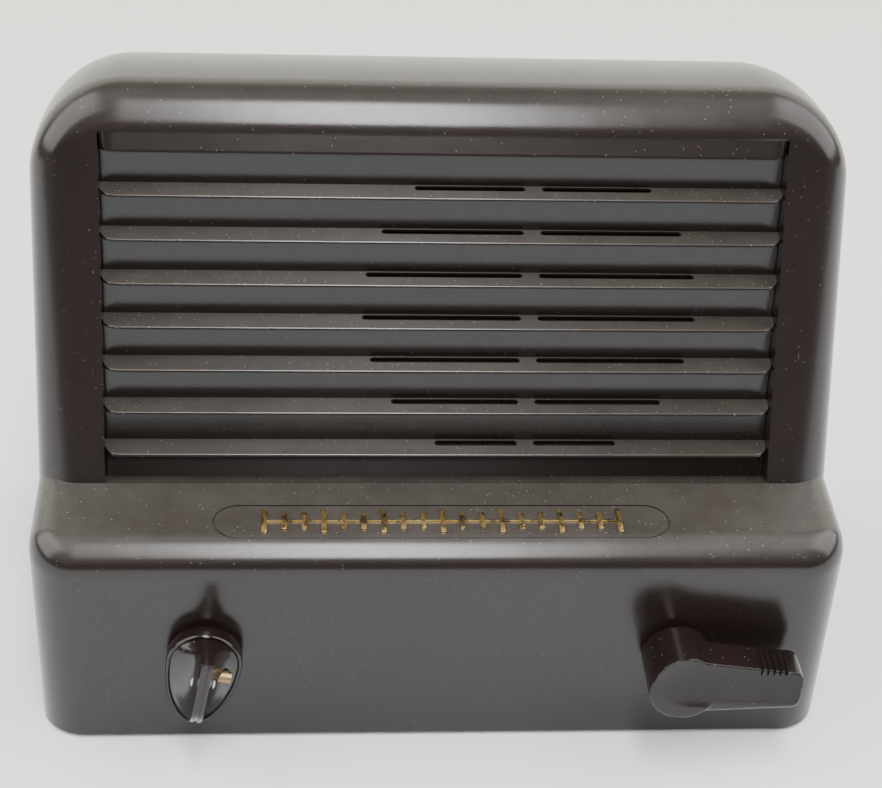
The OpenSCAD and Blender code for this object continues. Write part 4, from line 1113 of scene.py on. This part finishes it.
def metal(name, light, dark, rough, scale=40.0, stain=(0.20, 0.13, 0.07), stained=0.15,
          ripple=(150, 0.03, 0.04), dust_and_sheen_amounts=(0.6, 0.2, 1.0)):
    material, tree, shader = fresh(name)
    mottle = effect(tree, MOTTLE, Scale=scale, Contrast=1.5)
    base = mixed(tree, mottle.outputs["Broad"], dark, light)
    spots = effect(tree, MOTTLE, Scale=scale * 2.5, Contrast=3.0)
    stains = maths(tree, "MULTIPLY", ramp(tree, spots.outputs["Broad"], 0.6, 1.0), stained)
    aged = mixed(tree, stains, base, stain)
    specks = effect(tree, DUST_AND_SHEEN, Specks=dust_and_sheen_amounts[0], Film=dust_and_sheen_amounts[1], Size=dust_and_sheen_amounts[2])
    colour = mixed(tree, specks.outputs["Mask"], aged, METAL_DUST)
    bright = maths(tree, "MULTIPLY_ADD", specks.outputs["Mask"], -DUST_DULLS, 1.0, clamp=True)
    rough_map = maths(tree, "MULTIPLY_ADD", mottle.outputs["Fine"], METAL_SPREAD,
                      rough - METAL_SPREAD / 2)
    bump = effect(tree, RIPPLE, Scale=float(ripple[0]), Depth=ripple[1], Fine=ripple[2])
    wired(tree, shader, Base_Color=colour, Metallic=bright, Roughness=rough_map,
          Normal=bump.outputs["Normal"])
    return material


gilt = metal("worn_gilt", (0.80, 0.56, 0.22), (0.50, 0.31, 0.10), 0.34, stain=(0.05, 0.035, 0.02),
             stained=0.7, scale=120.0, dust_and_sheen_amounts=(0.4, 0.05, 1.0))
plated = metal("plated_sheet", (0.62, 0.60, 0.54), (0.42, 0.40, 0.36), 0.38)
screw_finish = metal("nickel_screw", (0.66, 0.64, 0.60), (0.40, 0.38, 0.34), 0.3, stained=0.35)
shaft_finish = metal("drawn_steel", (0.60, 0.60, 0.60), (0.42, 0.42, 0.42), 0.22)
magnet_finish = metal("cast_magnet", (0.30, 0.30, 0.31), (0.20, 0.20, 0.20), 0.5, scale=90.0,
                      ripple=(260, 0.12, 0.1))
copper = metal("enamelled_copper", (0.72, 0.33, 0.15), (0.50, 0.20, 0.08), 0.3)
can_finish = metal("dull_aluminium", (0.70, 0.71, 0.72), (0.52, 0.53, 0.54), 0.42)
iron = metal("blued_iron", (0.12, 0.11, 0.12), (0.05, 0.05, 0.055), 0.45, stained=0.6)
brass = metal("dull_brass", (0.36, 0.26, 0.12), (0.20, 0.14, 0.06), 0.42, stained=0.6)
print("with the metals:", len(bpy.data.materials), "materials")


# %% Board, paper, felt and cloth
FLECK = (0.10, 0.07, 0.05)


def fibre(name, light, dark, rough, along, depth=0.25, sheen=0.0):
    """Pressed or woven stuff: noise stretched along the fibres, with darker flecks."""
    material, tree, shader = fresh(name)
    coords = node(tree, "ShaderNodeTexCoord").outputs["Object"]
    lay = node(tree, "ShaderNodeMapping", [("Vector", coords)])
    lay.inputs["Scale"].default_value = along
    strands = node(tree, "ShaderNodeTexNoise", [("Vector", lay.outputs["Vector"])],
                   Scale=900.0, Detail=6.0, Roughness=0.65).outputs["Fac"]
    mottle = effect(tree, MOTTLE, Scale=35.0, Contrast=1.3)
    base = mixed(tree, mottle.outputs["Broad"], dark, light)
    flecks = ramp(tree, strands, 0.62, 0.75)
    colour = mixed(tree, maths(tree, "MULTIPLY", flecks, 0.7), base, FLECK)
    specks = effect(tree, DUST_AND_SHEEN, Specks=0.5, Film=0.3, Size=1.0)
    dusty = mixed(tree, specks.outputs["Mask"], colour, DUST_AND_SHEEN_COLOUR)
    bump = node(tree, "ShaderNodeBump", [("Height", strands)], Distance=0.0006, Strength=depth)
    rough_map = maths(tree, "MULTIPLY_ADD", mottle.outputs["Fine"], 0.15, rough - 0.08)
    wired(tree, shader, Base_Color=dusty, Roughness=rough_map, Normal=bump.outputs["Normal"])
    shader.inputs["Sheen Weight"].default_value = sheen
    return material


board = fibre("pressed_board", (0.17, 0.105, 0.062), (0.10, 0.060, 0.036), 0.62, (1, 1, 2.5))
paper = fibre("cone_paper", (0.40, 0.35, 0.26), (0.29, 0.25, 0.18), 0.85, (1, 1, 1))
dark_paper = fibre("black_paper", (0.075, 0.06, 0.05), (0.04, 0.033, 0.028), 0.8, (1, 1, 1))
felt = fibre("grey_felt", (0.30, 0.26, 0.20), (0.20, 0.17, 0.13), 0.95, (1, 1, 0.6), depth=0.6,
             sheen=0.3)
cloth = fibre("varnished_cloth", (0.42, 0.30, 0.13), (0.28, 0.19, 0.08), 0.5, (2.5, 0.5, 1))
winding = fibre("waxed_winding", (0.38, 0.28, 0.12), (0.24, 0.16, 0.07), 0.4, (0.3, 0.3, 4))
print("with board, paper and cloth:", len(bpy.data.materials), "materials")


# %% Valve glass, with a clear wall and a silvery cap where the getter was fired
def glass_finish():
    material, tree, shader = fresh("valve_glass")
    coords = node(tree, "ShaderNodeTexCoord").outputs["Object"]
    height = node(tree, "ShaderNodeSeparateXYZ", [("Vector", coords)]).outputs["Z"]
    cap = ramp(tree, height, 0.094, 0.100, steep="SMOOTHSTEP")
    colour = mixed(tree, cap, (0.80, 0.84, 0.84), (0.10, 0.10, 0.11))
    mottle = effect(tree, MOTTLE, Scale=60.0, Contrast=1.0)
    rough_map = maths(tree, "MULTIPLY_ADD", mottle.outputs["Fine"], 0.06, 0.05)
    wired(tree, shader, Base_Color=colour, Roughness=rough_map)
    shader.inputs["Transmission Weight"].default_value = 0.85
    shader.inputs["IOR"].default_value = 1.5
    return material


glass = glass_finish()
print("glass:", glass.name)

# %% [markdown]
# ## Every piece gets its finish
# The CAD pieces that stay keep their shapes and only change material. The record says which stuff
# each one is made of, so one table from stuff to finish serves them all.

# %% Finish the CAD pieces and the new ones
FINISHES = {
    "moulding": cabinet_finish, "knob_moulding": knob_finish, "lever_moulding": lever_finish,
    "dark_phenolic": plain_phenolic, "gilt": gilt, "felt": felt, "plated_steel": plated,
    "screw_steel": screw_finish, "shaft_steel": shaft_finish, "magnet_steel": magnet_finish,
    "copper": copper, "paper": paper, "dark_paper": dark_paper, "treated_cloth": cloth,
    "fibreboard": board, "black_rubber": rubber, "valve_glass": glass, "can_aluminium": can_finish,
    "laminations": iron, "waxed_winding": winding, "brass_screw": brass}
stuff = {part["node"]: part["material_slot"] for part in frame["record"]["subparts"]}
for name, obj in nodes.items():
    for slot in obj.material_slots:
        slot.material = FINISHES[stuff[name]]
    if not obj.material_slots:
        obj.data.materials.append(FINISHES[stuff[name]])
for obj in list(bpy.data.objects):
    if obj.type == "MESH" and obj.get("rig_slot"):
        obj.data.materials.clear()
        obj.data.materials.append(FINISHES[obj["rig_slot"]])
print("finishes:", len(FINISHES))

# %% The pale sheet
sheet_finish, sheet_tree, sheet_shader = fresh("pale_sheet")
cloudy = effect(sheet_tree, MOTTLE, Scale=1.2, Contrast=0.8)
sheet_coords = node(sheet_tree, "ShaderNodeTexCoord").outputs["Object"]
depth = node(sheet_tree, "ShaderNodeSeparateXYZ", [("Vector", sheet_coords)]).outputs["Y"]
ground = mixed(sheet_tree, ramp(sheet_tree, depth, 0.0, 0.5), (0.83, 0.87, 0.89), (0.87, 0.86, 0.78))
sheet_tree.links.new(mixed(sheet_tree, maths(sheet_tree, "MULTIPLY", cloudy.outputs["Broad"], 0.12),
                           ground, (0.60, 0.60, 0.58)), sheet_shader.inputs["Base Color"])
sheet_shader.inputs["Roughness"].default_value = 0.6
sheet_shader.inputs["Specular IOR Level"].default_value = 0.2
floor.data.materials.append(sheet_finish)
print("sheet:", sheet_finish.name)
